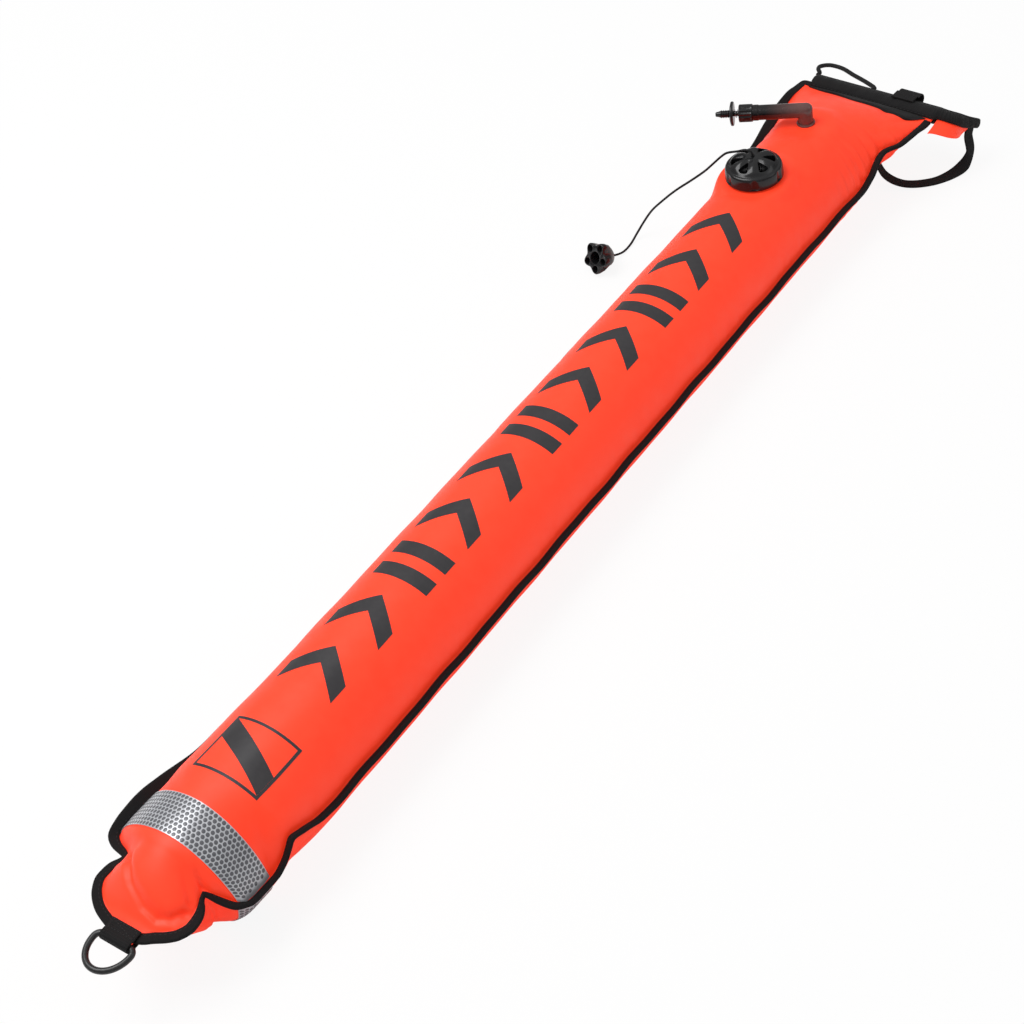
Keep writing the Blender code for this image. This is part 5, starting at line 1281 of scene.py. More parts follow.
LOOP_DEPTH = 0.0080
LOOP_HALF_HEIGHT = 0.0044
LOOP_WALL = 0.0014
LOOP_WIDTH = 0.0220
LOOP_GRIP = 0.0100
LOOP_Y = -0.0360
loop_gap = HEM_OUTSIDE + HEM_PUFF + CLEARANCE
loop_eye = (LOOP_DEPTH / 2, LOOP_HALF_HEIGHT)
loop_mesh = webbing(*fold_line(loop_eye, LOOP_WALL, loop_gap, LOOP_GRIP), LOOP_WIDTH, LOOP_WALL)
lean = atan2(HEAD_SKEW, 1.0)
loop_reach = LOOP_DEPTH / 2 + 2 * CLEARANCE
hem_edge = HEAD_WELD_X + HEAD_FLANGE + CLEARANCE + HEM_WALL + HEAD_SKEW * (LOOP_Y + HEAD_SWAY)
loop_place = Matrix.Translation((hem_edge + loop_reach * cos(lean),
                                 LOOP_Y - loop_reach * sin(lean), AXIS_HEIGHT + HEAD_RISE))
loop_place = loop_place @ Matrix.Rotation(pi - lean, 4, "Z")
loop_mesh.transform(loop_place)
add_piece("head_loop", loop_mesh, black_webbing, "black_webbing", "buoy", "head_tab_loop")

# %% Boxes of stitches on the two folds
BOX_END = 0.0012                # from the stitches to the ends of the grip
BOX_SIDE = 0.0022               # and to the webbing's edges
BOX_LIFT = 0.00005


def sew_box(name, eye, gap, grip, width, wall, place):
    """A sewn rectangle with a cross in it, on both faces of a fold."""
    near = fold_tail(eye, gap) + BOX_END
    far = fold_tail(eye, gap) + grip - BOX_END
    half = width / 2 - BOX_SIDE
    height = gap + wall + BOX_LIFT
    corners = [(near, -half), (far, -half), (far, half), (near, half), (near, -half), (far, half)]
    rows = [[place @ Vector((x, y, sign * height)) for x, y in corners] for sign in (1, -1)]
    sew(name, rows, BOX_STITCH, slot="black_webbing")


sew_box("tab_stitches", tab_eye, tab_gap, TAB_GRIP, TAB_WIDTH, TAB_WALL, ring_place)
sew_box("loop_stitches", loop_eye, loop_gap, LOOP_GRIP, LOOP_WIDTH, LOOP_WALL, loop_place)

# %% [markdown]
# The strap leaves the ear's tip, twists, and runs under the tube to the place where it is sewn.
# A cloth simulation could let it hang, but its route is known, so it follows a drawn line. The
# line has few bends, and its ways up are blended from one bend to the next.

# %% Strap from the ear's tip to the tube's side
STRAP_WIDTH = 0.0110
STRAP_THICKNESS = 0.0015
STRAP_DROP = 0.0030
STRAP_STEPS = ((-0.0170, 0.0010, 0.0100), (-0.0350, 0.0030, 0.0010), (-0.0570, 0.0170, 0.0000),
               (-0.0740, 0.0390, 0.0030), (-0.0780, 0.0550, 0.0110), (-0.0780, 0.0650, 0.0000))
part_points, part_sides, _, part_scales, _ = hem_run(8, 0.0032)
tip = skewed(part_points[-1])
tip_run = (part_points[-1] - part_points[-2]).normalized()
flat = STRAP_THICKNESS / 2
strap_heading = Vector((-0.45, 0.0, -0.9)).normalized()
strap_start = (tip - tip_run * STRAP_WIDTH * 0.6
               - part_sides[-1] * (HEAD_FLANGE * part_scales[-2] + 4 * CLEARANCE))
strap_route = [strap_start, strap_start + strap_heading * 0.006]
strap_route += [Vector((tip.x + dx, tip.y + dy, flat + dz)) for dx, dy, dz in STRAP_STEPS]
strap_last = strap_route[-1]
strap_turn = acos(strap_last.y / form(RIGHT_HALF, strap_last.x))
strap_last.z = section_point(strap_last.x, strap_turn, False).z - flat - STRAP_DROP
strap_line = smooth_curve(strap_route, 0.0016)
first_up = tip_run.cross(strap_heading)
first_up *= -1 if first_up.y > 0 else 1
up_keys = (first_up, first_up, Vector((0.2, -0.5, 0.85)), Vector((0.0, 0.0, 1.0)),
           Vector((0.0, 0.0, 1.0)), Vector((0.1, -0.1, 1.0)), Vector((0.3, -0.6, 0.7)))
coarse = running_lengths(smooth_curve(strap_route, 0.0080))
fine = running_lengths(strap_line)
strap_ups = []
for length in fine:
    share = min(length / fine[-1], 1.0) * coarse[-1]
    i = max(k for k in range(len(coarse)) if coarse[k] <= share + 1e-9)
    nearby = min(i + 1, len(coarse) - 1)
    inside = (share - coarse[i]) / max(coarse[nearby] - coarse[i], 1e-9)
    t = (i + min(inside, 1.0)) / (len(coarse) - 1) * (len(up_keys) - 1)
    low = min(int(t), len(up_keys) - 2)
    strap_ups.append(up_keys[low].lerp(up_keys[low + 1], t - low))
for i, point in enumerate(strap_line):
    along = direction_at(strap_line, i)
    up_here = square_to(strap_ups[i], along)
    side_here = up_here.cross(along)
    point.z = max(point.z, abs(side_here.z) * STRAP_WIDTH / 2 + abs(up_here.z) * flat)
strap_mesh = webbing(strap_line, strap_ups, STRAP_WIDTH, STRAP_THICKNESS)
add_piece("side_strap", strap_mesh, black_webbing, "black_webbing", "buoy", "strap_loop")

# %% [markdown]
# Two cords are on the buoy. A short loop of shock cord comes out of the hem's left end and goes
# back to its edge. A thin pull cord leaves the middle of the valve, falls over the tube's side
# and ends in a hollow knob on the floor. Both repeat the model's own routes.

# %% Cords
BUNGEE_DIAMETER = 0.0040
CORD_DIAMETER = 0.0020
VALVE_SKIRT_HEIGHT = 0.0130
VALVE_DOME_HEIGHT = 0.0080
KNOB_BACK = Vector((VALVE_X - 0.0560, FITTINGS_Y + 0.1245, 0.0078))
KNOB_HEADING = Vector((-0.86, 0.22, 0.44)).normalized()


def cord_curve(name, points, diameter, node):
    """A cord as a curve with a round bevel and filled ends."""
    data = bpy.data.curves.new(name, "CURVE")
    data.dimensions = "3D"
    data.bevel_depth = diameter / 2
    data.bevel_resolution = 4
    data.use_fill_caps = True
    line = data.splines.new("POLY")
    line.points.add(len(points) - 1)
    for spot, point in zip(line.points, points):
        spot.co = (*point, 1.0)
    data.materials.append(cord_cover)
    piece = placed(name, data)
    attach(piece, "buoy")
    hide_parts(node)
    return piece


bungee_edge = HEAD_WELD_X + HEAD_FLANGE + 2 * CLEARANCE + HEM_WALL + BUNGEE_DIAMETER * HEAD_SKEW / 2
out_y, back_y = 0.0605, 0.0010
head_z = AXIS_HEIGHT + HEAD_RISE
out_x = bungee_edge + HEAD_SKEW * (out_y + HEAD_SWAY)
back_x = bungee_edge + HEAD_SKEW * (back_y + HEAD_SWAY)
bungee_route = (
    (out_x, out_y, head_z), (out_x + 0.004, out_y, head_z),
    (out_x + 0.010, out_y + 0.005, head_z - 0.001), (out_x + 0.018, out_y + 0.007, head_z - 0.003),
    (out_x + 0.024, out_y + 0.001, head_z - 0.004), (out_x + 0.025, out_y - 0.011, head_z - 0.005),
    (back_x + 0.021, back_y + 0.031, head_z - 0.004),
    (back_x + 0.013, back_y + 0.016, head_z - 0.002),
    (back_x + 0.007, back_y + 0.005, head_z - 0.001), (back_x + 0.003, back_y, head_z),
    (back_x, back_y, head_z))
bungee_line = smooth_curve(bungee_route, BUNGEE_DIAMETER * 0.7)
bungee = cord_curve("shock_cord_loop", bungee_line, BUNGEE_DIAMETER, "bungee_loop")

cap_top = VALVE_SEAT_Z + VALVE_SKIRT_HEIGHT + VALVE_DOME_HEIGHT
floor_z = CORD_DIAMETER / 2 + CLEARANCE
vx, vy = VALVE_X, FITTINGS_Y
cord_end = KNOB_BACK - KNOB_HEADING * CLEARANCE
cord_route = (
    (vx, vy, cap_top - 0.0052), (vx, vy, cap_top), (vx, vy, cap_top + 0.0015),
    (vx, vy + 0.0012, cap_top + 0.0040), (vx - 0.001, vy + 0.0060, cap_top + 0.0052),
    (vx - 0.001, vy + 0.0133, cap_top + 0.0020), (vx - 0.002, vy + 0.0245, cap_top - 0.0020),
    (vx - 0.002, vy + 0.0303, cap_top - 0.0070), (vx - 0.003, vy + 0.0387, cap_top - 0.0160),
    (vx - 0.003, vy + 0.0480, cap_top - 0.0260), (vx - 0.004, vy + 0.0613, cap_top - 0.0380),
    (vx - 0.005, vy + 0.0799, cap_top - 0.0540), (vx - 0.005, vy + 0.0960, cap_top - 0.0700),
    (vx - 0.006, vy + 0.1079, cap_top - 0.0830), (vx - 0.008, vy + 0.1165, cap_top - 0.0960),
    (vx - 0.015, vy + 0.1215, floor_z + 0.0040), (vx - 0.027, vy + 0.1215, floor_z),
    (vx - 0.040, vy + 0.1215, floor_z + 0.0004),
    tuple(cord_end - KNOB_HEADING * 0.0040), tuple(cord_end))
pull_line = smooth_curve(cord_route, CORD_DIAMETER * 1.2)
pull = cord_curve("pull_line", pull_line, CORD_DIAMETER, "pull_cord")

# %% [markdown]
# The valve's cap is one moulding: a skirt with six hollows for the fingers, and a domed top that
# is open between six broad ribs. The skirt is spun, with its radius drawn in at each hollow, and
# the openings are cut by Booleans. A small bevel then rounds every cut edge, as moulds do.

# %% Cutting and rounding a moulding
def cut_and_round(mesh, cutters, round_off=0.00025):
    """Cut a mesh by closed cutter meshes, then round the edges that are left sharp."""
    helper = placed("helper", mesh)
    guides = [placed("cutter", cutter) for cutter in cutters]
    for guide in guides:
        step = helper.modifiers.new("cut", "BOOLEAN")
        step.operation = "DIFFERENCE"
        step.solver = "EXACT"
        step.object = guide
    edge = helper.modifiers.new("round", "BEVEL")
    edge.width = round_off
    edge.segments = 2
    edge.limit_method = "ANGLE"
    edge.angle_limit = radians(38)
    result = settled_mesh(helper)
    for made in guides + [helper]:
        bpy.data.objects.remove(made)
    result.shade_smooth()
    result.set_sharp_from_angle(angle=radians(36))
    return result


def prism(outline, low, high):
    """A closed upright prism on an outline in the XY plane."""
    count = len(outline)
    verts = [Vector((x, y, z)) for z in (low, high) for x, y in outline]
    faces = [tuple(range(count)), tuple(range(count, 2 * count))]
    faces += [(j, (j + 1) % count, count + (j + 1) % count, count + j) for j in range(count)]
    return mesh_of(verts, faces)


def formed(mesh, shape_rule):
    """Move each vertex of a turned mesh by a rule on its angle, radius and height."""
    for vertex in mesh.vertices:
        x, y, z = vertex.co
        radius = shape_rule(atan2(y, x), hypot(x, y), z)
        if hypot(x, y) > 1e-7:
            vertex.co = (x * radius / hypot(x, y), y * radius / hypot(x, y), z)
    return mesh

# %% Valve cap
VALVE_RADIUS = 0.0250
VALVE_NECK_RADIUS = 0.0190
VALVE_LOBES = 6
VALVE_WINDOWS = 6
NOTCH_RADIUS = 0.0075
NOTCH_DISTANCE = VALVE_RADIUS + 0.0062
NOTCH_FOOT = 0.0012
RIB_SWELL = 0.0022              # how far the ribs stand over the openings between them
DOME_EDGE_RADIUS = 0.0208
GASKET_THICKNESS = 0.0010
HUB_RADIUS = 0.0055
HUB_HOLE_RADIUS = CORD_DIAMETER / 2 + CLEARANCE
cap_bottom = CLEARANCE + GASKET_THICKNESS + CLEARANCE
dome_top = VALVE_SKIRT_HEIGHT + VALVE_DOME_HEIGHT
neck = VALVE_NECK_RADIUS + CLEARANCE
dome_inside = VALVE_SKIRT_HEIGHT - 0.0030
notch_low = cap_bottom + NOTCH_FOOT


def skirt_rule(angle, radius, height):
    """Draw the skirt in where a finger hollow lies; its foot stays whole."""
    if height < notch_low + 0.00005 or radius < neck + 0.0005:
        return radius
    step = 2 * pi / VALVE_LOBES
    away = (angle - step / 2) % step
    away = min(away, step - away)
    span = NOTCH_DISTANCE * sin(away)
    if abs(span) >= NOTCH_RADIUS:
        return radius
    return min(radius, NOTCH_DISTANCE * cos(away) - sqrt(NOTCH_RADIUS**2 - span**2))


cap_profile = [
    (neck, cap_bottom), (24.4e-3, cap_bottom), (24.8e-3, cap_bottom + 0.0002),
    (25.0e-3, cap_bottom + 0.0006), (25.0e-3, notch_low), (25.0e-3, notch_low + 0.0001),
    (24.95e-3, 5.0e-3), (24.8e-3, 7.5e-3), (24.6e-3, 9.8e-3), (24.3e-3, 11.2e-3),
    (23.8e-3, 12.2e-3), (23.1e-3, 12.9e-3), (22.2e-3, 13.2e-3), (21.5e-3, 13.2e-3),
    (21.0e-3, 13.5e-3), (20.0e-3, 15.2e-3), (18.0e-3, 16.6e-3), (15.0e-3, 18.0e-3),
    (11.5e-3, 19.2e-3), (8.5e-3, 19.9e-3), (6.6e-3, 20.2e-3), (6.0e-3, 20.4e-3),
    (5.0e-3, 20.75e-3), (3.0e-3, 21.0e-3), (HUB_HOLE_RADIUS + 0.0005, dome_top),
    (HUB_HOLE_RADIUS, dome_top - 0.0005), (HUB_HOLE_RADIUS, dome_top - 0.0050),
    (HUB_RADIUS, dome_top - 0.0050), (14.0e-3, dome_top - 0.0062),
    (neck - 0.0004, dome_inside + 0.0010), (neck, dome_inside)]
cap_mesh = formed(turned(cap_profile, 216), skirt_rule)
for vertex in cap_mesh.vertices:
    x, y, z = vertex.co
    radius = hypot(x, y)
    if z > VALVE_SKIRT_HEIGHT + 0.0004 and HUB_RADIUS < radius < DOME_EDGE_RADIUS:
        across = (radius - HUB_RADIUS) / (DOME_EDGE_RADIUS - HUB_RADIUS)
        rib = 0.5 - 0.5 * cos(VALVE_WINDOWS * atan2(y, x))
        vertex.co.z += RIB_SWELL * (rib - 0.35) * sin(pi * across) ** 0.8
windows = []
for k in range(VALVE_WINDOWS):
    middle = 2 * pi * k / VALVE_WINDOWS
    outline = [(8.6e-3, -0.05), (10.0e-3, -0.12), (13.0e-3, -0.19), (17.2e-3, -0.245),
               (18.4e-3, -0.225), (18.8e-3, -0.16), (19.0e-3, 0.0)]
    outline += [(r, -turn) for r, turn in reversed(outline[:-1])] + [(8.2e-3, 0.0)]
    points = [(r * cos(middle + turn), r * sin(middle + turn)) for r, turn in outline]
    windows.append(prism(points, VALVE_SKIRT_HEIGHT - 0.0040, dome_top + 0.0040))
cap_mesh = cut_and_round(cap_mesh, windows)
cap_mesh.transform(Matrix.Translation((VALVE_X, FITTINGS_Y, VALVE_SEAT_Z)))
add_piece("valve_top", cap_mesh, black_plastic, "black_plastic", "buoy", "valve_cap")

# %% [markdown]
# The oral inflator stands to the left. A smoky tube turns sharply out of the fabric, a ribbed ring
# locks it, and a disc with a nipple is pressed in to open it. All are round parts, so each is a
# profile that is spun or carried along the barrel.

# %% Inflator
INFLATOR_HEADING = 26.0
INFLATOR_TUBE_RADIUS = 0.0066
INFLATOR_BORE_RADIUS = 0.0050
INFLATOR_LEG = 0.0130
CORNER_INSIDE = 0.0008
CORNER_GROWTH = 0.33
INFLATOR_FLANGE_THICKNESS = 0.0012
BARREL_END = 0.0565
COLLAR_LENGTH = 0.0050
COLLAR_STEP = 0.0004
LOCK_RING_LENGTH = 0.0105
LOCK_RING_OVERHANG = 0.0012
LOCK_RING_RADIUS = 0.0078
LOCK_RING_RIBS = 14
NECK_RADIUS = 0.0061
LIP_LENGTH = 0.0018
LIP_BORE_RADIUS = 0.0027
COUNTERBORE_RADIUS = 0.0044
BARREL_Z = INFLATOR_SEAT_Z + INFLATOR_LEG
heading = radians(90 + INFLATOR_HEADING)
barrel_run = Vector((cos(heading), sin(heading), 0.0))
barrel_across = Vector((0.0, 0.0, 1.0)).cross(barrel_run)
barrel_turn = Matrix((barrel_across, Vector((0.0, 0.0, 1.0)), barrel_run)).transposed().to_4x4()
barrel_place = Matrix.Translation((INFLATOR_X, FITTINGS_Y, BARREL_Z)) @ barrel_turn
neck_start = BARREL_END - LOCK_RING_LENGTH - 2 * CLEARANCE


def elbow_mesh():
    """A round tube up, round a tight corner and out along the barrel, outside and in.

    Each fibre of the wall goes up its own line and turns on its own small arc. The arcs are
    tight on the inside of the corner and wide on the outside.
    """
    bottom = -INFLATOR_LEG - PANEL_THICKNESS - CLEARANCE - INFLATOR_FLANGE_THICKNESS
    collar_start = neck_start - COLLAR_LENGTH
    lip_end = neck_start + LIP_LENGTH
    step = 0.0001
    plain = (INFLATOR_TUBE_RADIUS, INFLATOR_BORE_RADIUS)
    raised = (INFLATOR_TUBE_RADIUS + COLLAR_STEP, INFLATOR_BORE_RADIUS)
    neck_wall, counterbore = (NECK_RADIUS, LIP_BORE_RADIUS), (NECK_RADIUS, COUNTERBORE_RADIUS)
    barrel_stops = [(0.0120, plain), (0.0200, plain), (0.0300, plain), (collar_start, plain),
                    (collar_start + COLLAR_STEP, raised), (neck_start - step, raised),
                    (neck_start, neck_wall), (lip_end, neck_wall), (lip_end + step, counterbore),
                    (BARREL_END, counterbore)]
    arc_steps, sides = 14, 56
    rings = 2 + arc_steps + 1 + len(barrel_stops)
    verts = []
    for wall in (0, 1):
        fibres = []
        for k in range(sides):
            a = 2 * pi * k / sides
            width = plain[wall]
            across, outward = width * cos(a), width * sin(a)
            corner = CORNER_INSIDE + CORNER_GROWTH * (outward + width)
            fibre = [(-outward, bottom), (-outward, (bottom + outward - corner) / 2)]
            for m in range(arc_steps + 1):
                turn = pi / 2 * m / arc_steps
                fibre.append((-outward + corner * (1 - cos(turn)),
                              outward - corner + corner * sin(turn)))
            line = [barrel_across * across + barrel_run * along + Vector((0, 0, rise))
                    for along, rise in fibre]
            for along, radii in barrel_stops:
                line.append(barrel_across * radii[wall] * cos(a) + barrel_run * along
                            + Vector((0.0, 0.0, radii[wall] * sin(a))))
            fibres.append(line)
        verts += [fibres[k][i] for i in range(rings) for k in range(sides)]
    faces = tube_faces(rings, sides) + tube_faces(rings, sides, rings * sides)
    for i in (0, rings - 1):
        for k in range(sides):
            m = (k + 1) % sides
            a, b = i * sides, (rings + i) * sides
            faces.append((a + k, a + m, b + m, b + k))
    return mesh_of(verts, faces)


elbow = elbow_mesh()
elbow.transform(Matrix.Translation((INFLATOR_X, FITTINGS_Y, BARREL_Z)))
add_piece("inflator_elbow", elbow, smoked_plastic, "smoked_plastic", "buoy", "inflator_tube")

# %% [markdown]
# The smoky moulding grows darker along the barrel. Its paler, redder tone at the elbow is painted
# light: the cloth's red seen through the smoke. Two materials would meet in a seam. So the place
# along the barrel, which is a dot product with the barrel's own direction, blends the pale smoke
# into the deep one.

# %% Depth of the smoke
SMOKE_PALE_END = 0.004          # distances along the barrel, between which the blend runs
SMOKE_DEEP_END = 0.034
SMOKE_DEEP = (0.011, 0.009, 0.010, 1.0)


def deepen_along(material, start, run):
    """Blend the base colour into the deep smoke over a stretch of the barrel."""
    tree = material.node_tree
    base = tree.nodes["Principled BSDF"].inputs["Base Color"]
    where = tree.nodes.new("ShaderNodeTexCoord").outputs["Object"]
    along = wired(tree, "ShaderNodeVectorMath", {0: where, 1: run}, operation="DOT_PRODUCT")
    share = wired(tree, "ShaderNodeMapRange", {
        "From Min": start.dot(run) + SMOKE_PALE_END, "From Max": start.dot(run) + SMOKE_DEEP_END,
        "Value": along.outputs["Value"]})
    deeper = wired(tree, "ShaderNodeMix", {
        "Factor": share.outputs["Result"], "A": base.links[0].from_socket, "B": SMOKE_DEEP},
        data_type="RGBA")
    tree.links.new(deeper.outputs["Result"], base)


deepen_along(smoked_plastic, Vector((INFLATOR_X, FITTINGS_Y, BARREL_Z)), barrel_run)

# %% Lock ring
ring_low = neck_start + CLEARANCE
ring_high = BARREL_END + LOCK_RING_OVERHANG
ring_bore = NECK_RADIUS + 0.0003
GRIP_DEPTH = 0.0007


def grip_rule(angle, radius, height):
    """Flutes between the ring's ribs, fading at its two ends."""
    if radius < ring_bore + 0.0004:
        return radius
    inset = min(height - ring_low, ring_high - height)
    depth = GRIP_DEPTH * soft_step((inset - 0.0006) / 0.0008)
    wave = 0.5 - 0.5 * cos(LOCK_RING_RIBS * angle)
    return radius - depth * wave**0.7


lock_profile = [(ring_bore, ring_low), (LOCK_RING_RADIUS - 0.0005, ring_low),
                (LOCK_RING_RADIUS - 0.0001, ring_low + 0.0002),
                (LOCK_RING_RADIUS, ring_low + 0.0006)]
lock_profile += [(LOCK_RING_RADIUS, ring_low + 0.0006 + (ring_high - ring_low - 0.0012) * t)
                 for t in (0.06, 0.14, 0.5, 0.86, 0.94, 1.0)]
lock_profile += [(LOCK_RING_RADIUS - 0.0001, ring_high - 0.0002),
                 (LOCK_RING_RADIUS - 0.0005, ring_high), (ring_bore, ring_high)]
lock_mesh = formed(turned(lock_profile, LOCK_RING_RIBS * 10), grip_rule)
lock_mesh.transform(barrel_place)
add_piece("lock_collar", lock_mesh, black_plastic, "black_plastic", "lock_ring",
          "inflator_lock_ring")

# %% Mouthpiece stem
STEM_TRAVEL = 0.0040
STEM_DISC_RADIUS = 0.0108
STEM_DISC_THICKNESS = 0.0026
STEM_TUBE_RADIUS = 0.0023
CLOSING_HEAD_RADIUS = 0.0046
CLOSING_HEAD_THICKNESS = 0.0016
SEAL_THICKNESS = 0.0012
NIPPLE_LENGTH = 0.0135
NIPPLE_RADIUS = 0.0030
NIPPLE_BORE_RADIUS = 0.0014
NIPPLE_BORE_DEPTH = 0.0100
NIPPLE_RIBS = 4
NIPPLE_RIB_PITCH = 0.0020
DISC_ROUND = 0.0008
disc_low = BARREL_END + LOCK_RING_OVERHANG + STEM_TRAVEL + 2 * CLEARANCE
seal_low = neck_start - CLEARANCE - SEAL_THICKNESS
head_low = seal_low - CLEARANCE - CLOSING_HEAD_THICKNESS
nipple_root = disc_low + STEM_DISC_THICKNESS
nipple_tip = nipple_root + NIPPLE_LENGTH
stem_profile = [(0.0, head_low), (CLOSING_HEAD_RADIUS, head_low),
                (CLOSING_HEAD_RADIUS, head_low + CLOSING_HEAD_THICKNESS),
                (STEM_TUBE_RADIUS, head_low + CLOSING_HEAD_THICKNESS),
                (STEM_TUBE_RADIUS, disc_low), (STEM_DISC_RADIUS - DISC_ROUND, disc_low)]
for k in range(9):
    a = -pi / 2 + pi * k / 8
    stem_profile.append((STEM_DISC_RADIUS - DISC_ROUND + DISC_ROUND * cos(a),
                         disc_low + STEM_DISC_THICKNESS / 2 * (1 + sin(a))))
stem_profile += [(0.0090, nipple_root + 0.0003), (0.0072, nipple_root + 0.0008),
                 (0.0048, nipple_root + 0.0010), (NIPPLE_RADIUS + 0.0003, nipple_root + 0.0013)]
for k in range(NIPPLE_RIBS):
    at = nipple_root + 0.0014 + NIPPLE_RIB_PITCH * k
    for t, proud in ((0.0, 0.0), (0.25, 0.00012), (0.45, 0.0005), (0.62, 0.0005), (0.72, 0.0)):
        stem_profile.append((NIPPLE_RADIUS + proud, at + NIPPLE_RIB_PITCH * t))
stem_profile += [(NIPPLE_RADIUS - inward, nipple_tip - back) for inward, back in (
    (0.0, 0.0040), (0.0004, 0.0032), (0.0007, 0.0020), (0.0009, 0.0008), (0.0011, 0.0003),
    (0.0014, 0.0))]
stem_profile += [(NIPPLE_BORE_RADIUS, nipple_tip - 0.0001),
                 (NIPPLE_BORE_RADIUS, nipple_tip - NIPPLE_BORE_DEPTH),
                 (0.0, nipple_tip - NIPPLE_BORE_DEPTH)]
stem_mesh = turned(stem_profile, 56, barrel_place, closed=False)
add_piece("mouthpiece_stem", stem_mesh, black_plastic, "black_plastic", "mouthpiece",
          "inflator_stem")

# %% [markdown]
# Both springs are pressed shorter when their joint moves, so each is made again here. The ends stay
# within the room that the imported model's own spring has.

# %% Springs
VALVE_COIL = (0.0066, 0.0009, 3.5)      # radius to the wire's middle, wire, and turns
STEM_COIL = (0.0034, 0.0006, 5.5)


def coil(name, node, place, sizes, low, high):
    """Round wire wound up the place's Z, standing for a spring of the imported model."""
    radius, wire, turns = sizes
    steps = round(turns * 30)
    path = []
    for i in range(steps + 1):
        a = 2 * pi * turns * i / steps
        rise = low + wire / 2 + (high - low - wire) * i / steps
        path.append(Vector((radius * cos(a), radius * sin(a), rise)))
    outs = [Vector((point.x, point.y, 0.0)).normalized() for point in path]
    ups = [direction_at(path, i).cross(out).normalized() for i, out in enumerate(outs)]
    mesh = carried(path, outs, ups, circle(wire / 2, 10))
    mesh.transform(place)
    return add_piece(name, mesh, spring_steel, "spring_steel", "buoy", node)


valve_low, valve_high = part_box("valve_spring")[0][2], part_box("valve_spring")[1][2]
valve_coil = coil("valve_coil", "valve_spring", Matrix.Translation((VALVE_X, FITTINGS_Y, 0.0)),
                  VALVE_COIL, valve_low, valve_high)
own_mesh(valve_coil)
stem_coil_low = neck_start + LIP_LENGTH + 2 * CLEARANCE
stem_coil_high = disc_low - CLEARANCE
stem_coil = coil("stem_coil", "inflator_spring", barrel_place, STEM_COIL, stem_coil_low,
                 stem_coil_high)
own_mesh(stem_coil)

# %% [markdown]
# The pull knob is a hollow moulding with five lobes. Its outside is a stack of lobed rings, from
# the narrow back, where the cord goes in, to the wide face. A socket and one pocket in each lobe
# are cut from the face, so thin walls are left between them.

# %% Pull knob
KNOB_RADIUS = 0.0150
KNOB_LENGTH = 0.0185
KNOB_LOBES = 5
KNOB_SOCKET_RADIUS = 0.0056
KNOB_SOCKET_DEPTH = 0.0120
POCKET_DEPTH = 0.0080
POCKET_DISTANCE = 0.0103        # from the knob's middle to a pocket's
POCKET_HALF_LENGTH = 0.0032
POCKET_HALF_WIDTH = 0.0030
LOBE_DEPTH = 0.13
# Share of the length, share of the radius, and how lobed the outside is there
KNOB_RINGS = ((0.0, 0.20, 0.0), (0.0, 0.42, 0.0), (0.18, 0.62, 0.3), (0.45, 0.86, 0.8),
              (0.75, 0.98, 1.0), (0.93, 1.00, 1.0), (1.0, 0.95, 1.0))


def knob_shape():
    """The knob's lobed outside, closed at both ends."""
    steps = 120
    levels = []
    for (z0, w0, l0), (z1, w1, l1) in zip(KNOB_RINGS[1:], KNOB_RINGS[2:]):
        levels += [(z0 + (z1 - z0) * t, w0 + (w1 - w0) * t, l0 + (l1 - l0) * t)
                   for t in (0.0, 0.34, 0.67)]
    levels = [KNOB_RINGS[0]] + levels + [KNOB_RINGS[-1]]
    verts = []
    for along, width, lobed in levels:
        for k in range(steps):
            a = 2 * pi * k / steps
            swell = 1 + lobed * LOBE_DEPTH * (cos(KNOB_LOBES * a) - 1)
            radius = KNOB_RADIUS * width * swell
            verts.append(Vector((radius * cos(a), radius * sin(a), along * KNOB_LENGTH)))
    faces = [tuple(range(steps)), tuple((len(levels) - 1) * steps + k for k in range(steps))]
    return mesh_of(verts, faces + tube_faces(len(levels), steps))


past_face = KNOB_LENGTH + 0.002
pockets = [prism(circle(KNOB_SOCKET_RADIUS, 40), KNOB_LENGTH - KNOB_SOCKET_DEPTH, past_face)]
for lobe in range(KNOB_LOBES):
    turn = 2 * pi * lobe / KNOB_LOBES
    outline = []
    for x, y in circle(1.0, 24):
        out = POCKET_DISTANCE + POCKET_HALF_LENGTH * x
        aside = POCKET_HALF_WIDTH * y * (1 - 0.12 * x)
        outline.append((out * cos(turn) - aside * sin(turn), out * sin(turn) + aside * cos(turn)))
    pockets.append(prism(outline, KNOB_LENGTH - POCKET_DEPTH, past_face))
knob_mesh = cut_and_round(knob_shape(), pockets, 0.00040)
knob_side = Vector((0, 0, 1)).cross(KNOB_HEADING).normalized()
knob_turn = Matrix((knob_side, KNOB_HEADING.cross(knob_side), KNOB_HEADING)).transposed().to_4x4()
knob_mesh.transform(Matrix.Translation(KNOB_BACK) @ knob_turn)
knob = add_piece("cord_knob", knob_mesh, black_plastic, "black_plastic", "buoy", "pull_knob")

# %% [markdown]
# The foot's ring is a straight bar with a round bow, bent from one rod. A circle is carried round
# the ring's middle line, and the line closes on itself.

# %% Foot ring
RING_INNER_WIDTH = 0.0285
RING_DEPTH = 0.0215
RING_CORNER = 0.0050


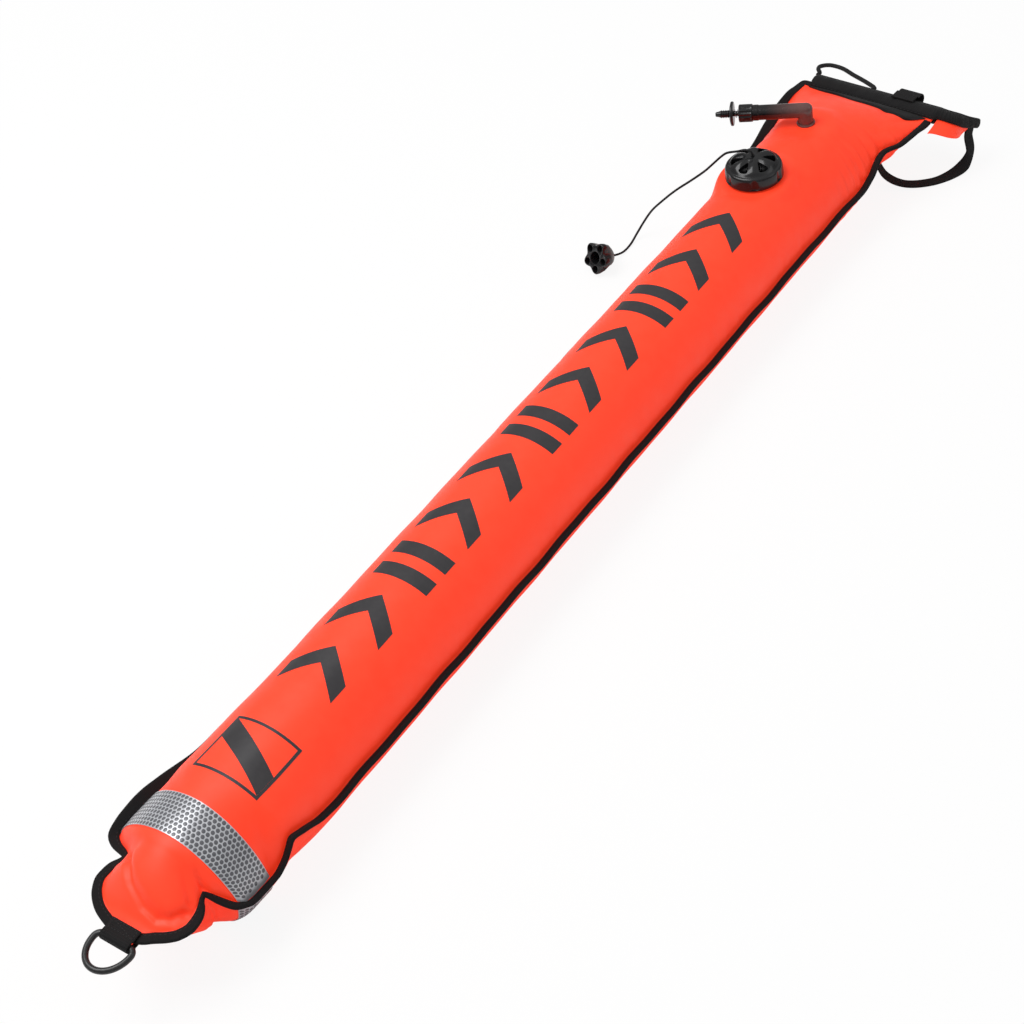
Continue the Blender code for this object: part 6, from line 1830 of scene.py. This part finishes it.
def ring_line():
    """The ring's middle line: the straight bar, a corner, the bow and the other corner."""
    half = RING_INNER_WIDTH / 2 + RING_ROD / 2
    bow_depth = RING_DEPTH + RING_ROD / 2
    line = [(0.0, (half - RING_CORNER) * (1 - 2 * k / 12)) for k in range(13)]
    for k in range(1, 8):
        a = radians(90 * k / 8)
        line.append((-RING_CORNER * (1 - cos(a)), -(half - RING_CORNER) - RING_CORNER * sin(a)))
    for k in range(49):
        a = radians(180 * k / 48)
        line.append((-RING_CORNER - (bow_depth - RING_CORNER) * sin(a), -half * cos(a)))
    for k in range(1, 8):
        a = radians(90 - 90 * k / 8)
        line.append((-RING_CORNER * (1 - cos(a)), (half - RING_CORNER) + RING_CORNER * sin(a)))
    return line


def closed_rod(line, radius, sides=20):
    """A round rod carried along a closed line in the XY plane."""
    verts = []
    count = len(line)
    for i, (x, y) in enumerate(line):
        along = (Vector(line[(i + 1) % count]) - Vector(line[i - 1])).normalized()
        out = Vector((along.y, -along.x, 0.0))
        verts += [Vector((x, y, rise)) + out * aside for aside, rise in circle(radius, sides)]
    return mesh_of(verts, tube_faces(count, sides, closed=True))


ring_mesh = closed_rod(ring_line(), RING_ROD / 2)
ring_mesh.transform(ring_place)
add_piece("foot_ring", ring_mesh, black_metal, "black_metal", "ring", "d_ring")

# %% [markdown]
# The reflective band is silver film pressed with a honeycomb. Dark round cells stand in rows, and
# the bright film shows between them as a net. Geometry Nodes set the cells out on a flat sheet in
# staggered rows. The sheet is then wrapped on the tube by the same rule that made the tube.

# %% Honeycomb of cells on a flat sheet
def cell_tree():
    """A node tree that sets low round cells on a staggered grid, wide along Y."""
    tree, sockets, given = new_tree("honeycomb_cells", (
        ("Rows", "NodeSocketInt"), ("Columns", "NodeSocketInt"),
        ("Row pitch", "NodeSocketFloat"), ("Column pitch", "NodeSocketFloat"),
        ("Cell radius", "NodeSocketFloat"), ("Cell height", "NodeSocketFloat"),
        ("Film", "NodeSocketMaterial")))
    long, wide = [
        math_node(tree, "MULTIPLY", math_node(tree, "SUBTRACT", given[many], 1.0), given[pitch])
        for many, pitch in (("Rows", "Row pitch"), ("Columns", "Column pitch"))]
    grid = wired(tree, "GeometryNodeMeshGrid", {
        "Vertices X": given["Rows"], "Vertices Y": given["Columns"],
        "Size X": long, "Size Y": wide})
    number = tree.nodes.new("GeometryNodeInputIndex").outputs["Index"]
    row = math_node(tree, "FLOOR", math_node(tree, "DIVIDE", number, given["Columns"]))
    odd = math_node(tree, "MODULO", row, 2.0)
    aside = math_node(tree, "MULTIPLY", math_node(tree, "SUBTRACT", odd, 0.5),
                      math_node(tree, "MULTIPLY", given["Column pitch"], 0.5))
    shift = wired(tree, "ShaderNodeCombineXYZ", {"Y": aside})
    moved = wired(tree, "GeometryNodeSetPosition", {
        "Geometry": grid.outputs["Mesh"], "Offset": shift.outputs["Vector"]})
    cell = wired(tree, "GeometryNodeMeshCone", {
        "Vertices": 12, "Radius Top": math_node(tree, "MULTIPLY", given["Cell radius"], 0.86),
        "Radius Bottom": given["Cell radius"], "Depth": given["Cell height"]}, fill_type="NGON")
    laid = wired(tree, "GeometryNodeInstanceOnPoints", {
        "Points": moved.outputs["Geometry"], "Instance": cell.outputs["Mesh"]})
    hand_out(tree, "Cells", laid.outputs["Instances"], given["Film"])
    return tree, sockets


cell_nodes, cell_sockets = cell_tree()

# %% Band on the tube
BAND_FROM_FOOT = 0.0534
BAND_WIDTH = 0.0300
BAND_THICKNESS = 0.0005
BAND_START = 0.35
BAND_ROWS = 9
CELL_PITCH = 0.0036
CELL_RADIUS = 0.00152
CELL_HEIGHT = 0.00010
band_near = FOOT_WELD_X + BAND_FROM_FOOT
band_middle = band_near + BAND_WIDTH / 2


def band_turns(upper):
    """Turns at even steps of cloth length across the band, from weld to weld."""
    many = [pi * j / 360 for j in range(361)]
    around = running_lengths([section_point(band_middle, turn, upper) for turn in many])
    first = (section_point(band_middle, 0.0, upper)
             - section_point(band_middle, pi / 14, upper)).length * BAND_START
    return many, around, first


def turn_at(many, around, distance):
    """The turn at a distance along the cloth, found by halving."""
    distance = min(max(distance, 0.0), around[-1] - 1e-9)
    low, high = 0, len(around) - 1
    while high - low > 1:
        middle = (low + high) // 2
        if around[middle] <= distance:
            low = middle
        else:
            high = middle
    share = (distance - around[low]) / (around[high] - around[low])
    return many[low] + (many[high] - many[low]) * share


def band_sheet(upper):
    """The film itself: a thin closed shell over the cloth."""
    many, around, first = band_turns(upper)
    rows, columns = 29, 121
    verts, flat = [], []
    for stand_off in (CLEARANCE + BAND_THICKNESS, CLEARANCE):
        for i in range(rows):
            x = band_near + BAND_WIDTH * i / (rows - 1)
            for j in range(columns):
                distance = first + (around[-1] - 2 * first) * j / (columns - 1)
                turn = turn_at(many, around, distance)
                verts.append(section_point(x, turn, upper, stand_off))
                flat.append((x, distance))
    return mesh_of(verts, shell_faces(rows, columns), flat)


def band_cells(upper):
    """The flat honeycomb wrapped on this half of the tube."""
    many, around, first = band_turns(upper)
    spare = around[-1] - 2 * first - 2 * CELL_PITCH
    columns = int(spare / CELL_PITCH)
    row_pitch = (BAND_WIDTH - 2 * CELL_RADIUS - 0.0009) / (BAND_ROWS - 1)
    cells = grown_by_nodes(bpy.data.meshes.new("flat_cells"), cell_nodes, cell_sockets, {
        "Rows": BAND_ROWS, "Columns": columns, "Row pitch": row_pitch,
        "Column pitch": CELL_PITCH, "Cell radius": CELL_RADIUS, "Cell height": CELL_HEIGHT,
        "Film": band_cell_film})
    base = CLEARANCE + BAND_THICKNESS
    for vertex in cells.vertices:
        x, y, z = vertex.co
        turn = turn_at(many, around, around[-1] / 2 + y)
        vertex.co = section_point(band_middle + x, turn, upper, base + z - 0.00002)
    if not upper:
        cells.flip_normals()
    cells.shade_smooth()
    cells.set_sharp_from_angle(angle=radians(30))
    return cells


for half_name, upper in (("upper", True), ("lower", False)):
    add_piece("band_film_" + half_name, band_sheet(upper), reflective_film, "reflective_film",
              "buoy", "reflective_band_" + half_name)
    add_piece("band_cells_" + half_name, band_cells(upper), band_cell_film, "reflective_film",
              "buoy")

# %% [markdown]
# Prints are ink on the cloth. Each block is drawn flat, in metres along the tube and round it
# from the top line. It is cut into small faces so that it can bend, and laid on the cloth as a
# layer a tenth of a millimetre thick. The blocks are plain bars and chevrons, and near the foot is
# the usual diver-down sign: a frame with a broad slanting stripe.

# %% Print on the cloth
INK_LOW = 0.00003
INK_HIGH = 0.00015
TOP_LEFT = -0.0250              # the blocks reach from here, round the tube from its top line
TOP_RIGHT = 0.0265


def print_mesh(outlines):
    """Flat outlines of (along, around) points laid on the upper cloth as one thin layer each."""
    shape = bmesh.new()
    for outline in outlines:
        shape.faces.new([shape.verts.new((x, a, 0.0)) for x, a in outline])
    bmesh.ops.recalc_face_normals(shape, faces=shape.faces)
    bmesh.ops.triangulate(shape, faces=shape.faces)
    xs = [vert.co.x for vert in shape.verts]
    ys = [vert.co.y for vert in shape.verts]
    for axis, low, high, step in ((0, min(xs), max(xs), 0.0040), (1, min(ys), max(ys), 0.0020)):
        at = low + step / 2
        while at < high:
            middle = Vector((at, 0.0, 0.0)) if axis == 0 else Vector((0.0, at, 0.0))
            way = Vector((1.0, 0.0, 0.0)) if axis == 0 else Vector((0.0, 1.0, 0.0))
            bmesh.ops.bisect_plane(shape, geom=shape.verts[:] + shape.edges[:] + shape.faces[:],
                                   plane_co=middle, plane_no=way, dist=1e-7)
            at += step
    shape.verts.index_update()
    flat = [(vert.co.x, vert.co.y) for vert in shape.verts]
    tops = [[vert.index for vert in face.verts] for face in shape.faces]
    rims = [[loop.vert.index for loop in (edge.link_loops[0], edge.link_loops[0].link_loop_next)]
            for edge in shape.edges if len(edge.link_faces) == 1]
    shape.free()
    count = len(flat)
    verts = [section_point(x, pi / 2 + a / TUBE_RADIUS, True, height)
             for height in (INK_HIGH, INK_LOW) for x, a in flat]
    faces = tops + [[count + i for i in reversed(face)] for face in tops]
    faces += [(b, a, count + a, count + b) for a, b in rims]
    return mesh_of(verts, faces, flat + flat)


def bar(x, length):
    """A plain bar across the tube."""
    return [(x, TOP_LEFT), (x - length, TOP_LEFT), (x - length, TOP_RIGHT), (x, TOP_RIGHT)]


def chevron(x, thick, depth):
    """An arrowhead across the tube that points to the head."""
    middle = (TOP_LEFT + TOP_RIGHT) / 2
    return [(x - depth, TOP_LEFT), (x, middle), (x - depth, TOP_RIGHT),
            (x - depth - thick, TOP_RIGHT), (x - thick, middle), (x - depth - thick, TOP_LEFT)]


PRINT_START = 0.2620
PRINT_PITCH = 0.0540
blocks = []
for number in range(11):
    at = PRINT_START - PRINT_PITCH * number
    if number % 3 == 2:
        blocks += [bar(at, 0.0130), bar(at - 0.0230, 0.0130)]
    else:
        blocks.append(chevron(at, 0.0170, 0.0220))
add_piece("print_blocks", print_mesh(blocks), print_ink, "black_plastic", "buoy")

# %% Diver-down sign
SIGN_HEAD, SIGN_FOOT = -0.3560, -0.4040
SIGN_LEFT, SIGN_RIGHT = -0.0250, 0.0332
STROKE = 0.0023
STRIPE = 0.0175


def sign_outlines():
    """A frame of four mitred strokes and the stripe from corner to corner."""
    outer = [(SIGN_HEAD, SIGN_LEFT), (SIGN_HEAD, SIGN_RIGHT), (SIGN_FOOT, SIGN_RIGHT),
             (SIGN_FOOT, SIGN_LEFT)]
    inner = [(SIGN_HEAD - STROKE, SIGN_LEFT + STROKE), (SIGN_HEAD - STROKE, SIGN_RIGHT - STROKE),
             (SIGN_FOOT + STROKE, SIGN_RIGHT - STROKE), (SIGN_FOOT + STROKE, SIGN_LEFT + STROKE)]
    strokes = [[outer[i], outer[(i + 1) % 4], inner[(i + 1) % 4], inner[i]] for i in range(4)]
    gap = 0.00005
    head, foot = SIGN_HEAD - STROKE - gap, SIGN_FOOT + STROKE + gap
    left, right_side = SIGN_LEFT + STROKE + gap, SIGN_RIGHT - STROKE - gap
    stripe = [(head, left), (head - STRIPE, left), (foot, right_side), (foot + STRIPE, right_side)]
    return strokes + [stripe]


add_piece("sign_print", print_mesh(sign_outlines()), print_ink, "black_plastic", "buoy")

# %% [markdown]
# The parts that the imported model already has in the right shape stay, and only get a finish: the
# valve's seat, gasket, poppet and seal, and the inflator's base and seal.

# %% Finishes on the model's own parts
for node, finish in (
        ("valve_base", black_plastic), ("valve_gasket", black_rubber),
        ("valve_poppet", black_plastic), ("valve_seal", black_rubber),
        ("inflator_base", smoked_plastic), ("inflator_seal", black_rubber)):
    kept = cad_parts[node]
    for spot in kept.material_slots:
        spot.material = finish
